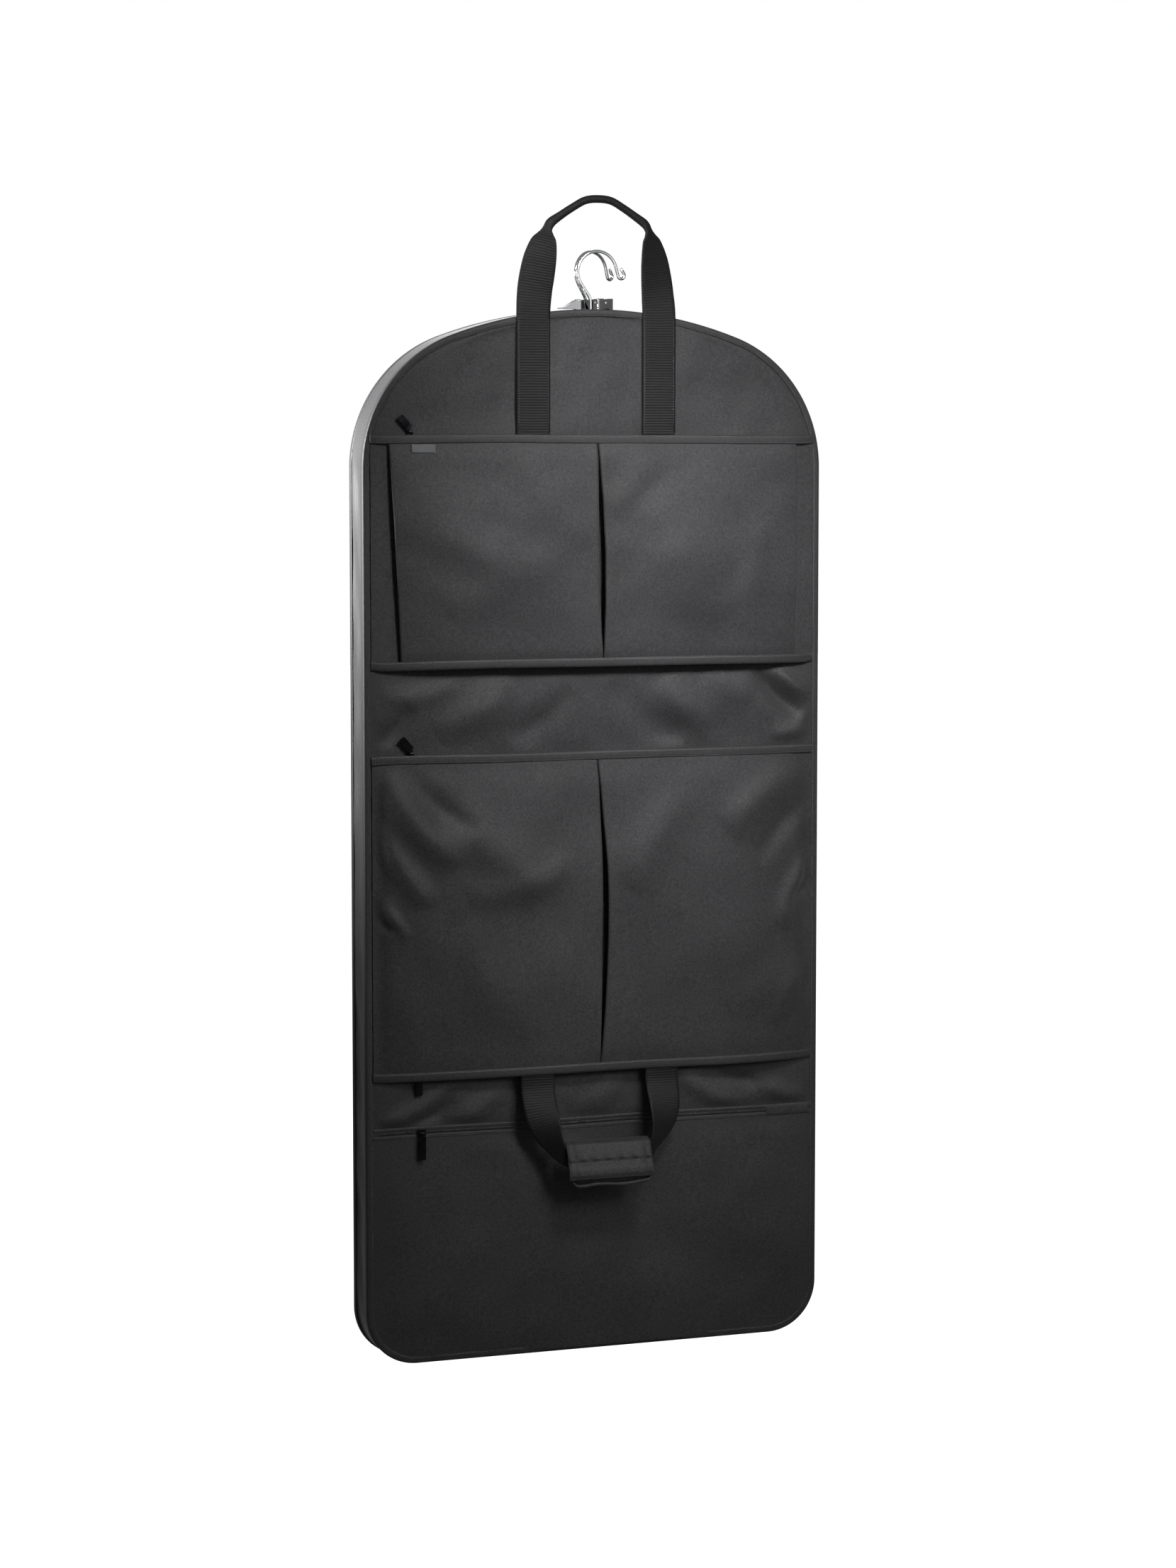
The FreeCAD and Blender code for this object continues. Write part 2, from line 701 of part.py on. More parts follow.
def clamp_pins():
    """Lever pin and the rivets that hold the blocks."""
    pin = cylinder_y(lever_pin_radius, -lever_half_width - 2.6, lever_half_width + 2.6,
                     lever_pin_x, lever_pin_drop)
    rivets = []
    for x in (pad_left + 2.6, end_block_left + 9.0):
        for y0 in (-clamp_half_depth - 0.7, clamp_half_depth):
            rivets.append(cylinder_y(1.3, y0, y0 + 0.7, x, -clamp_height + 4.0))
    return group([pin] + rivets)


def clamp_lever():
    """Folded plate lever: a wedge seen from the front, hollow underneath."""
    right = lever_pin_x + 1.4
    nose = lever_pin_x - lever_length
    top = -clamp_height + 0.2
    side_view = [(right, top), (right - 3, top), (nose + 6, -3.4), (nose, -2.2), (nose, -1.0),
                 (right, -1.0)]
    inner_view = [(right + 1, top + lever_wall), (right - 3, top + lever_wall), (nose + 6, -2.2),
                  (nose + 3, -1.8), (nose + 3, 0.5), (right + 1, 0.5)]
    solid = prism_y(side_view, -lever_half_width, lever_half_width)
    hollow = prism_y(inner_view, -lever_half_width + lever_wall, lever_half_width - lever_wall)
    shell = solid.cut(hollow)
    eyes = []
    for side in (-1, 1):
        y0 = side * lever_half_width
        y1 = y0 - side * lever_wall
        eyes.append(cylinder_y(1.9 + 0.6, min(y0, y1), max(y0, y1), lever_pin_x, lever_pin_drop))
    hole = cylinder_y(lever_pin_radius + bore_clearance, -lever_half_width - 1,
                      lever_half_width + 1, lever_pin_x, lever_pin_drop)
    return joined([shell] + eyes).cut(hole)


# ---- assembly ---------------------------------------------------------------

def section_nodes():
    """Shell pieces of the three stiff sections and the two soft folds."""
    nodes = {}
    spans = {
        "top": (-20.0, upper_fold_top),
        "fold_upper": (upper_fold_top, lower_band_drop - section_gap),
        "middle": (lower_band_drop, lower_fold_top),
        "fold_lower": (lower_fold_top, bottom_zip_drop - section_gap),
        "bottom": (bottom_zip_drop, bag_height + 1.0),
    }
    for name, (top_drop, low_drop) in spans.items():
        low_panel = low_drop
        high_panel = top_drop
        if name == "bottom":
            high_panel = bottom_zip_drop + zip_height
        nodes[name + "_front_panel"] = front_panel(high_panel, low_panel)
        nodes[name + "_gusset"] = gusset(top_drop, low_drop)
        if name.startswith("fold"):
            nodes[name + "_back"] = group([back_panels(top_drop, low_drop),
                                           main_zip(top_drop, low_drop)])
            nodes[name + "_front_panel"] = group([nodes[name + "_front_panel"],
                                                  bindings(top_drop, low_drop)])
            continue
        nodes[name + "_back_panels"] = back_panels(top_drop, low_drop)
        nodes[name + "_bindings"] = bindings(top_drop, low_drop)
        zip_top = max(top_drop, binding_width + section_gap)
        zip_low = min(low_drop, bag_height - binding_width - section_gap)
        nodes[name + "_main_zip"] = main_zip(zip_top, zip_low)
    nodes["top_gusset"] = top_gusset()
    return nodes


def pocket_nodes():
    nodes = {}
    for name, band_drop, hem_drop in (("upper", upper_band_drop, upper_hem_drop),
                                      ("lower", lower_band_drop, lower_hem_drop)):
        nodes[name + "_pocket_left"] = pocket_half(band_drop, hem_drop, -1)
        nodes[name + "_pocket_right"] = pocket_half(band_drop, hem_drop, 1)
        nodes[name + "_pocket_binding"] = pocket_bindings(band_drop, hem_drop)
        nodes[name + "_pocket_zip"] = pocket_zip(band_drop)
        nodes[name + "_pocket_slider"] = tucked_slider(-slider_side, band_drop)
        nodes[name + "_pocket_pull"] = pull_tab(-slider_side, band_drop - pull_rise, pull_axis,
                                                pull_length - 4.0, pull_tilt)
    nodes["bottom_zip"] = bottom_zip()
    nodes["bottom_lining"] = bottom_lining()
    nodes["woven_label"] = woven_label()
    return nodes


def hanging_zip_nodes():
    """Zips whose pulls hang straight down."""
    hem_zip_drop = lower_hem_drop + zip_height / 2.0
    bottom_drop = bottom_zip_drop + zip_height / 2.0
    return {
        "hem_zip": zip_strip(-panel_edge + zip_end_gap, panel_edge - zip_end_gap, hem_zip_drop),
        "hem_slider": front_slider(-slider_side + 8, hem_zip_drop),
        "hem_pull": pull_tab(-slider_side + 8, hem_zip_drop, pull_axis, pull_length - 4.0, 0),
        "bottom_slider": front_slider(-slider_side + 12, bottom_drop),
        "bottom_pull": pull_tab(-slider_side + 12, bottom_drop, pull_axis, pull_length + 6.0, 0),
        "main_slider": main_slider(),
        "main_pull": pull_tab(0, main_slider_drop, main_pull_axis(), pull_length + 6.0, 0),
    }


def hanging_nodes():
    """Handles, hooks, hangers and the clamp."""
    half = hook_spacing / 2.0
    return {
        "strap_anchors": strap_anchors(),
        "top_handle": top_handle(),
        "bottom_handle": bottom_handle(),
        "grip_pad": grip_pad(),
        "grip_flap": grip_flap(),
        "shoulder_frame": shoulder_frame(),
        "hook_front": hook_wire(-half, 0),
        "hook_rear": hook_wire(half, rear_hook_turn),
        "hanger_front": hanger(-half),
        "hanger_rear": hanger(half),
        "clamp_channel": clamp_channel(),
        "clamp_pad": clamp_pad(),
        "clamp_jaw": clamp_jaw(),
        "clamp_end_block": clamp_end_block(),
        "clamp_pins": clamp_pins(),
        "clamp_lever": clamp_lever(),
    }


def main():
    os.makedirs("parts", exist_ok=True)
    nodes = {}
    nodes.update(section_nodes())
    nodes.update(pocket_nodes())
    nodes.update(hanging_zip_nodes())
    nodes.update(hanging_nodes())
    for name, shape in nodes.items():
        shape.exportStep("parts/" + name + ".step")
        box = shape.BoundBox
        print(name, len(shape.Solids), shape.isValid(), round(shape.Volume),
              [round(v, 1) for v in (box.XMin, box.YMin, box.ZMin, box.XMax, box.YMax, box.ZMax)])
    print("nodes", len(nodes))
    print("apex_z", apex_z, "upper fold", upper_fold_y, level(upper_fold_drop),
          "lower fold", lower_fold_y, level(lower_fold_drop))


main()
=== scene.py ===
"""Looks of a hanging tri-fold garment bag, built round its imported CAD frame."""

import json
import math

import bmesh
import bpy
import numpy as np
from bpy.props import FloatProperty, FloatVectorProperty, PointerProperty
from mathutils import Matrix, Vector


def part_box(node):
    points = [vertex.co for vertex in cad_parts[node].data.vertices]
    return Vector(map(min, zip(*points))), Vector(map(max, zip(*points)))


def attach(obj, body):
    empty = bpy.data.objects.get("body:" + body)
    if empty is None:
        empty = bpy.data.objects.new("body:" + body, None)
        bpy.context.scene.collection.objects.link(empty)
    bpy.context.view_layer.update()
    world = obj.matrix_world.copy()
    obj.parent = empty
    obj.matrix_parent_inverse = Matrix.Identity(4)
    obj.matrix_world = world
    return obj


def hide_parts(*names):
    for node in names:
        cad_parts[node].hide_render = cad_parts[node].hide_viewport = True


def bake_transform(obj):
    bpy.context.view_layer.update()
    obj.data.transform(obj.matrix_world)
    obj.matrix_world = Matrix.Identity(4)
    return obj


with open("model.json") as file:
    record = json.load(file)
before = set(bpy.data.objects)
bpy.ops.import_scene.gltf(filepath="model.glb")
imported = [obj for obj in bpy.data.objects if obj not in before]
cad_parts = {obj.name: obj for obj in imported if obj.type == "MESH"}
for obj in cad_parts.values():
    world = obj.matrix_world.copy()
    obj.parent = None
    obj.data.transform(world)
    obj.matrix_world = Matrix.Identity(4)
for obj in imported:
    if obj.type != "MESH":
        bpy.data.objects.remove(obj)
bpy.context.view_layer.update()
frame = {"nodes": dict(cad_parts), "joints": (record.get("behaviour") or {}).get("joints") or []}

bl_info = {
    "name": "Garment bag looks",
    "version": (1, 0, 0),
    "blender": (4, 5, 0),
    "location": "3D View > Sidebar > Garment bag",
    "description": "Cloth, webbing, zips, metal and stage of a hanging garment bag",
    "category": "Object",
}

MM = 0.001

# Levels and edges read from the frame, in metres.
APEX_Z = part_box("top_gusset")[1].z + 1.0 * MM
HEM_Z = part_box("bottom_bindings")[0].z
HALF_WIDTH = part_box("top_bindings")[1].x
FRONT_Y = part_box("top_front_panel")[0].y
BACK_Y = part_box("top_back_panels")[1].y
UPPER_BAND_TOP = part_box("upper_pocket_binding")[1].z
UPPER_HEM_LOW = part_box("upper_pocket_binding")[0].z
LOWER_BAND_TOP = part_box("lower_pocket_binding")[1].z
LOWER_HEM_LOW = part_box("lower_pocket_binding")[0].z
BOTTOM_ZIP_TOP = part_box("bottom_zip")[1].z
BOTTOM_ZIP_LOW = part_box("bottom_zip")[0].z
BAND_HEIGHT = BOTTOM_ZIP_TOP - BOTTOM_ZIP_LOW
MIDDLE_SPLIT = (LOWER_BAND_TOP + LOWER_HEM_LOW) / 2.0
STRAP_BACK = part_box("strap_anchors")[1].y
STRAP_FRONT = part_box("strap_anchors")[0].y
STRAP_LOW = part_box("strap_anchors")[0].z
HANDLE_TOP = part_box("top_handle")[1].z

JOINTS = {j["name"]: j for j in frame["joints"]}


# ---- sizes and colours a user would change ----------------------------------

def length(name, text, default):
    return FloatProperty(name=name, description=text, default=default, min=0.0, unit="LENGTH",
                         subtype="DISTANCE", precision=5)


def colour(name, text, code):
    return FloatVectorProperty(name=name, description=text, default=linear(code)[:3], size=3,
                               min=0.0, max=1.0, subtype="COLOR")


def linear(code):
    """An sRGB hex value as linear red, green, blue and alpha."""
    parts = [int(code[i:i + 2], 16) / 255.0 for i in (1, 3, 5)]
    parts = [p / 12.92 if p <= 0.04045 else ((p + 0.055) / 1.055) ** 2.4 for p in parts]
    return (*parts, 1.0)


class ShellSizes(bpy.types.PropertyGroup):
    crown_radius: length("Crown radius", "Radius of the middle of the shoulder arch", 0.560)
    shoulder_radius: length("Shoulder radius", "Radius of the ends of the arch", 0.174)
    corner_radius: length("Corner radius", "Radius of the two lower corners", 0.066)
    binding_width: length("Binding width", "Width of the folded tape round the seams", 0.009)
    binding_wall: length("Binding wall", "How far the tape stands off the cloth", 0.0013)
    cloth_wall: length("Cloth wall", "Thickness of the coated shell cloth", 0.0012)
    grid_step: length("Grid step", "Spacing of the points of a sheet of cloth", 0.0055)


class SewingSizes(bpy.types.PropertyGroup):
    stitch_pitch: length("Stitch pitch", "Distance from one stitch to the next", 0.0032)
    stitch_length: length("Stitch length", "Length of the thread that shows", 0.0024)
    thread_size: length("Thread size", "Diameter of the sewing thread", 0.0007)
    coil_pitch: length("Coil pitch", "Distance from one zip tooth to the next", 0.0016)
    coil_width: length("Coil width", "Width across the closed zip coil", 0.0036)
    coil_height: length("Coil height", "Height of the coil over its tape", 0.0014)


class WebbingSizes(bpy.types.PropertyGroup):
    width: length("Webbing width", "Width of the handle webbing", 0.045)
    wall: length("Webbing wall", "Thickness of the handle webbing", 0.0018)
    rib_pitch: length("Rib pitch", "Distance between the ribs of the weave", 0.0033)
    rib_height: length("Rib height", "Height of the ribs of the weave", 0.00022)
    grip_height: length("Grip height", "Height of the rolled top grip", 0.0098)
    grip_depth: length("Grip depth", "Depth of the rolled top grip", 0.0070)


class BagColours(bpy.types.PropertyGroup):
    shell: colour("Shell", "Colour of the shell cloth", "#1f1f20")
    webbing: colour("Webbing", "Colour of the handle webbing", "#0b0b0c")
    binding: colour("Binding", "Colour of the seam tape", "#1a1a1b")
    metal: colour("Chrome", "Colour of the plated steel", "#d9dadc")


SETTINGS = {
    "bag_shell": ShellSizes,
    "bag_sewing": SewingSizes,
    "bag_webbing": WebbingSizes,
    "bag_colours": BagColours,
}


# ---- materials --------------------------------------------------------------

def add_node(tree, kind, values=None, links=None, **options):
    """Adds one node, sets its options and input values, and joins its inputs to sockets."""
    node = tree.nodes.new(kind)
    for key, value in options.items():
        setattr(node, key, value)
    for key, value in (values or {}).items():
        node.inputs[key].default_value = value
    for key, socket in (links or {}).items():
        tree.links.new(socket, node.inputs[key])
    return node


def new_material(name):
    """An empty material with its shader and output, ready for a pattern."""
    material = bpy.data.materials.get(name)
    if material:
        return material, None, None
    material = bpy.data.materials.new(name)
    material.use_nodes = True
    tree = material.node_tree
    tree.nodes.clear()
    shader = add_node(tree, "ShaderNodeBsdfPrincipled")
    output = add_node(tree, "ShaderNodeOutputMaterial", links={"Surface": shader.outputs["BSDF"]})
    output.location = (400, 0)
    material.diffuse_color = (0.1, 0.1, 0.1, 1.0)
    return material, tree, shader


# Scales a colour; here it paints the lighter, lit copy of the shell cloth used on the gussets.
def shade(rgb, factor):
    return (*[min(1.0, c * factor) for c in rgb[:3]], 1.0)


def woven_cloth(name, rgb, yarn, roughness, specular, sheen, contrast=0.35, bump=0.25, mottle=0.12,
                along=None):
    """A plain-weave cloth. yarn is the thread spacing in metres. along names a UV map to follow."""
    material, tree, shader = new_material(name)
    if tree is None:
        return material
    if along:
        place = add_node(tree, "ShaderNodeUVMap", uv_map=along).outputs["UV"]
    else:
        place = add_node(tree, "ShaderNodeTexCoord").outputs["Object"]
    across = add_node(tree, "ShaderNodeTexWave", {"Scale": math.pi / 10.0 / yarn, "Distortion": 0.6,
                      "Detail": 1.0, "Detail Scale": 3.0}, {"Vector": place},
                      wave_type="BANDS", bands_direction="X")
    up = add_node(tree, "ShaderNodeTexWave", {"Scale": math.pi / 10.0 / yarn, "Distortion": 0.6,
                  "Detail": 1.0, "Detail Scale": 3.0}, {"Vector": place},
                  wave_type="BANDS", bands_direction="Y" if along else "Z")
    weave = add_node(tree, "ShaderNodeMath", links={0: across.outputs["Fac"], 1: up.outputs["Fac"]},
                     operation="MULTIPLY")
    # Single yarns that took the dye a little lighter: a speckle one to three yarns wide.
    speckle = add_node(tree, "ShaderNodeTexNoise", {"Scale": 0.42 / yarn, "Detail": 2.0,
                       "Roughness": 0.7}, {"Vector": place})
    # Slow change over a hand's width, from handling and folding.
    patch = add_node(tree, "ShaderNodeTexNoise", {"Scale": 9.0, "Detail": 2.0}, {"Vector": place})
    spread = add_node(tree, "ShaderNodeMapRange", {"From Min": 0.32, "From Max": 0.72,
                      "To Min": 1.0 - contrast, "To Max": 1.0 + contrast * 1.6},
                      {"Value": speckle.outputs["Fac"]})
    slow = add_node(tree, "ShaderNodeMapRange", {"From Min": 0.3, "From Max": 0.7,
                    "To Min": 1.0 - mottle, "To Max": 1.0 + mottle},
                    {"Value": patch.outputs["Fac"]})
    dip = add_node(tree, "ShaderNodeMapRange", {"To Min": 0.80, "To Max": 1.15},
                   {"Value": weave.outputs["Value"]})
    first = add_node(tree, "ShaderNodeMath", links={0: spread.outputs["Result"],
                     1: slow.outputs["Result"]}, operation="MULTIPLY")
    total = add_node(tree, "ShaderNodeMath", links={0: first.outputs["Value"],
                     1: dip.outputs["Result"]}, operation="MULTIPLY")
    tint = add_node(tree, "ShaderNodeVectorMath", {0: rgb[:3]}, operation="SCALE")
    tree.links.new(total.outputs["Value"], tint.inputs["Scale"])
    tree.links.new(tint.outputs["Vector"], shader.inputs["Base Color"])
    rough = add_node(tree, "ShaderNodeMapRange", {"To Min": roughness + 0.08,
                     "To Max": roughness - 0.08}, {"Value": speckle.outputs["Fac"]})
    tree.links.new(rough.outputs["Result"], shader.inputs["Roughness"])
    height = add_node(tree, "ShaderNodeMath", {1: 0.5}, {0: weave.outputs["Value"],
                      2: speckle.outputs["Fac"]}, operation="MULTIPLY_ADD")
    relief = add_node(tree, "ShaderNodeBump", {"Strength": bump, "Distance": yarn * 0.5},
                      {"Height": height.outputs["Value"]})
    tree.links.new(relief.outputs["Normal"], shader.inputs["Normal"])
    shader.inputs["Specular IOR Level"].default_value = specular
    shader.inputs["Sheen Weight"].default_value = sheen
    shader.inputs["Sheen Roughness"].default_value = 0.45
    return material


def shell_cloth():
    # 600-denier polyester, piece-dyed black and coated behind: matt charcoal with a fine bright
    # speckle. The real yarns are 0.5 mm apart; they are drawn 1.1 mm apart so that they show.
    return woven_cloth("polyester_600_denier", bpy.context.scene.bag_colours.shell, 1.1 * MM, 0.60,
                       0.14, 0.04, contrast=0.32)


def gusset_cloth():
    # The same cloth as the shell, its colour painted 15% lighter: painted light for the brighter light that
    # falls on the sides.
    return woven_cloth("polyester_600_denier_gusset",
                       shade(bpy.context.scene.bag_colours.shell, 1.15), 1.1 * MM, 0.50, 0.20,
                       0.10, contrast=0.28)


def seam_tape():
    # Woven polyester grosgrain folded over the seam: tighter and blacker than the shell.
    return woven_cloth("polyester_grosgrain", bpy.context.scene.bag_colours.binding, 1.4 * MM, 0.55,
                       0.18, 0.06, contrast=0.22, bump=0.35)


def handle_webbing():
    # Ribbed polypropylene webbing: deep black with a slight waxy shine along each rib.
    return woven_cloth("polypropylene_webbing", bpy.context.scene.bag_colours.webbing, 1.1 * MM,
                       0.50, 0.09, 0.01, contrast=0.30, bump=0.45, along="weave")


def lining_cloth():
    # Nylon taffeta: smooth, thin and a touch shiny, seen only when the bag is open.
    return woven_cloth("nylon_taffeta", linear("#1f1f21"), 0.8 * MM, 0.42, 0.35, 0.12,
                       contrast=0.15)


def sewing_thread():
    # Twisted polyester thread, a little shinier than the cloth it holds.
    return woven_cloth("polyester_thread", linear("#2b2b2c"), 0.6 * MM, 0.42, 0.40, 0.10,
                       contrast=0.25)


def zip_tape_cloth():
    # Knitted polyester zip tape: dense black, finer than the shell.
    return woven_cloth("polyester_zip_tape", linear("#151516"), 0.9 * MM, 0.60, 0.22, 0.08,
                       contrast=0.25)


def label_satin():
    # Woven satin label, left blank: fine even rows with a soft shine.
    return woven_cloth("satin_label", linear("#1f2123"), 0.7 * MM, 0.45, 0.22, 0.05, contrast=0.18)


def moulded(name, code, roughness, specular, grain, dent=0.12, coat=0.0):
    """A moulded plastic or rubber: even colour with a fine spark-eroded grain."""
    material, tree, shader = new_material(name)
    if tree is None:
        return material
    place = add_node(tree, "ShaderNodeTexCoord").outputs["Object"]
    pebbles = add_node(tree, "ShaderNodeTexNoise", {"Scale": 1.0 / grain, "Detail": 3.0},
                       {"Vector": place})
    wear = add_node(tree, "ShaderNodeTexNoise", {"Scale": 60.0, "Detail": 4.0}, {"Vector": place})
    tone = add_node(tree, "ShaderNodeMapRange", {"From Min": 0.35, "From Max": 0.7, "To Min": 0.85,
                    "To Max": 1.25}, {"Value": wear.outputs["Fac"]})
    tint = add_node(tree, "ShaderNodeVectorMath", {0: linear(code)[:3]}, operation="SCALE")
    tree.links.new(tone.outputs["Result"], tint.inputs["Scale"])
    tree.links.new(tint.outputs["Vector"], shader.inputs["Base Color"])
    rough = add_node(tree, "ShaderNodeMapRange", {"To Min": roughness - 0.07,
                     "To Max": roughness + 0.10}, {"Value": wear.outputs["Fac"]})
    tree.links.new(rough.outputs["Result"], shader.inputs["Roughness"])
    relief = add_node(tree, "ShaderNodeBump", {"Strength": dent, "Distance": grain * 0.4},
                      {"Height": pebbles.outputs["Fac"]})
    tree.links.new(relief.outputs["Normal"], shader.inputs["Normal"])
    shader.inputs["Specular IOR Level"].default_value = specular
    shader.inputs["Coat Weight"].default_value = coat
    shader.inputs["Coat Roughness"].default_value = 0.2
    return material


def metal(name, rgb, roughness, scratch, speck=0.06):
    """A plated or bare metal with fine scratches that vary its gloss."""
    material, tree, shader = new_material(name)
    if tree is None:
        return material
    place = add_node(tree, "ShaderNodeTexCoord").outputs["Object"]
    cloud = add_node(tree, "ShaderNodeTexNoise", {"Scale": 90.0, "Detail": 5.0}, {"Vector": place})
    hair = add_node(tree, "ShaderNodeTexNoise", {"Scale": 1.0 / scratch, "Detail": 2.0,
                    "Distortion": 1.5}, {"Vector": place})
    tone = add_node(tree, "ShaderNodeMapRange", {"From Min": 0.3, "From Max": 0.7,
                    "To Min": 1.0 - speck, "To Max": 1.0 + speck}, {"Value": cloud.outputs["Fac"]})
    tint = add_node(tree, "ShaderNodeVectorMath", {0: rgb[:3]}, operation="SCALE")
    tree.links.new(tone.outputs["Result"], tint.inputs["Scale"])
    tree.links.new(tint.outputs["Vector"], shader.inputs["Base Color"])
    rough = add_node(tree, "ShaderNodeMapRange", {"From Min": 0.3, "From Max": 0.75,
                     "To Min": roughness * 0.7, "To Max": roughness * 1.5},
                     {"Value": cloud.outputs["Fac"]})
    tree.links.new(rough.outputs["Result"], shader.inputs["Roughness"])
    relief = add_node(tree, "ShaderNodeBump", {"Strength": 0.05, "Distance": scratch * 0.2},
                      {"Height": hair.outputs["Fac"]})
    tree.links.new(relief.outputs["Normal"], shader.inputs["Normal"])
    shader.inputs["Metallic"].default_value = 1.0
    return material


def chrome():
    # Bright nickel-chrome on steel: mirror bright, with faint handling marks.
    return metal("chrome_plated_steel", bpy.context.scene.bag_colours.metal, 0.0, 0.6 * MM)


def dark_zinc():
    # Die-cast zinc with a black nickel finish: dark, with bright edges where the light catches.
    return metal("black_nickel_zinc", linear("#161618"), 0.28, 0.5 * MM, speck=0.15)


def spring_steel():
    # Blued spring strip: smooth grey-blue, hidden inside the arch.
    return metal("blued_spring_steel", linear("#4a4e55"), 0.32, 0.8 * MM)


def black_abs():
    # Injection-moulded ABS: near black, half gloss, fine moulded grain.
    return moulded("moulded_abs", "#0b0b0c", 0.34, 0.30, 0.5 * MM, coat=0.06)


def pad_rubber():
    # Moulded thermoplastic rubber: dark grey and dull.
    return moulded("thermoplastic_rubber", "#1d1d1f", 0.70, 0.30, 0.7 * MM, dent=0.3)


def coil_nylon():
    # Extruded nylon monofilament, coiled: black with a small bright glint on each turn.
    return moulded("nylon_monofilament", "#131314", 0.28, 0.50, 0.9 * MM, dent=0.05)


def hanger_beech():
    """Lacquered beech: warm brown, long grain along the bar."""
    material, tree, shader = new_material("lacquered_beech")
    if tree is None:
        return material
    place = add_node(tree, "ShaderNodeTexCoord").outputs["Object"]
    stretch = add_node(tree, "ShaderNodeMapping", {"Scale": (0.12, 1.0, 1.0)}, {"Vector": place})
    grain = add_node(tree, "ShaderNodeTexNoise", {"Scale": 320.0, "Detail": 6.0, "Distortion": 0.4},
                     {"Vector": stretch.outputs["Vector"]})
    ramp = add_node(tree, "ShaderNodeValToRGB", links={"Fac": grain.outputs["Fac"]})
    ramp.color_ramp.elements[0].position = 0.35
    ramp.color_ramp.elements[0].color = linear("#8a5a33")
    ramp.color_ramp.elements[1].position = 0.65
    ramp.color_ramp.elements[1].color = linear("#c08a55")
    tree.links.new(ramp.outputs["Color"], shader.inputs["Base Color"])
    relief = add_node(tree, "ShaderNodeBump", {"Strength": 0.08, "Distance": 0.3 * MM},
                      {"Height": grain.outputs["Fac"]})
    tree.links.new(relief.outputs["Normal"], shader.inputs["Normal"])
    shader.inputs["Roughness"].default_value = 0.35
    shader.inputs["Coat Weight"].default_value = 0.4
    shader.inputs["Coat Roughness"].default_value = 0.15
    return material


# ---- mesh helpers -----------------------------------------------------------

def smooth(mesh, angle):
    """Smooth faces that keep every edge sharper than the angle, in degrees."""
    mesh.polygons.foreach_set("use_smooth", [True] * len(mesh.polygons))
    mesh.set_sharp_from_angle(angle=math.radians(angle))


def evaluated_mesh(piece):
    """A copy of a piece's mesh with its modifiers applied."""
    graph = bpy.context.evaluated_depsgraph_get()
    return bpy.data.meshes.new_from_object(piece.evaluated_get(graph), depsgraph=graph)


def link_mesh(name, vertices, faces, material, smooth_angle, closed=False):
    """A named object from points and faces, smooth but for its sharp edges."""
    mesh = bpy.data.meshes.new(name)
    mesh.from_pydata([tuple(map(float, v)) for v in vertices], [], faces)
    mesh.validate()
    return finish_mesh(name, mesh, material, smooth_angle, closed)


def finish_mesh(name, mesh, material, smooth_angle, closed=False):
    """A named object round a mesh. The faces of a closed one are turned outwards."""
    if closed:
        work = bmesh.new()
        work.from_mesh(mesh)
        bmesh.ops.recalc_face_normals(work, faces=work.faces)
        work.to_mesh(mesh)
        work.free()
    mesh.materials.clear()
    mesh.materials.append(material)
    smooth(mesh, smooth_angle)
    piece = bpy.data.objects.new(name, mesh)
    bpy.context.scene.collection.objects.link(piece)
    return piece


def grid_faces(rows, columns, first=0, keep=None):
    """Quads over a grid of points, row by row. keep says which quads stay."""
    faces = []
    for r in range(rows - 1):
        for c in range(columns - 1):
            if keep is not None and not keep(r, c):
                continue
            a = first + r * columns + c
            faces.append((a, a + 1, a + columns + 1, a + columns))
    return faces


def cut_size(grids):
    """Width, length and area of a sheet laid flat, measured over the surface it is made from."""
    width, length, area = 0.0, 0.0, 0.0
    for grid in grids:
        g = np.asarray(grid, float)
        width += float(np.linalg.norm(np.diff(g, axis=1), axis=2).sum(axis=1).max())
        length = max(length, float(np.linalg.norm(np.diff(g, axis=0), axis=2).sum(axis=0).max()))
        one, two = g[1:, 1:] - g[:-1, :-1], g[1:, :-1] - g[:-1, 1:]
        area += float(np.linalg.norm(np.cross(one, two), axis=2).sum()) / 2.0
    return width, length, area


def cloth_sheet(name, grids, wall, material, keep=None, facing=None, smooth_angle=60.0):
    """Grids of points as one sheet of cloth; its wall goes in from the side that it faces."""
    cut_size(grids)
    vertices, faces = [], []
    for grid in grids:
        rows, columns = grid.shape[:2]
        faces += grid_faces(rows, columns, len(vertices), keep)
        vertices += list(grid.reshape(-1, 3))
    piece = link_mesh(name, vertices, faces, material, smooth_angle)
    if facing is not None:
        turn_to(piece, Vector(facing))
    thick = piece.modifiers.new("thickness", "SOLIDIFY")
    thick.thickness = wall
    thick.offset = -1.0
    solid = evaluated_mesh(piece)
    piece.modifiers.clear()
    piece.data = solid
    smooth(solid, smooth_angle)
    return piece


def swept(name, rings, material, uv=None, smooth_angle=50.0):
    """A closed bar from rings of points. uv gives each ring point its place on the weave."""
    rings = np.asarray(rings)
    count, size = rings.shape[:2]
    vertices = list(rings.reshape(-1, 3))
    faces = []
    for r in range(count - 1):
        for c in range(size):
            a, b = r * size + c, r * size + (c + 1) % size
            below = (r + 1) * size
            faces.append((a, b, below + (c + 1) % size, below + c))
    faces.append(tuple(range(size))[::-1])
    faces.append(tuple((count - 1) * size + i for i in range(size)))
    piece = link_mesh(name, vertices, faces, material, smooth_angle, closed=True)
    if uv is not None:
        layer = piece.data.uv_layers.new(name="weave")
        flat = np.asarray(uv).reshape(-1, 2)
        corner = np.zeros(len(piece.data.loops), np.int32)
        piece.data.loops.foreach_get("vertex_index", corner)
        layer.data.foreach_set("uv", flat[corner].astype(np.float32).ravel())
    return piece


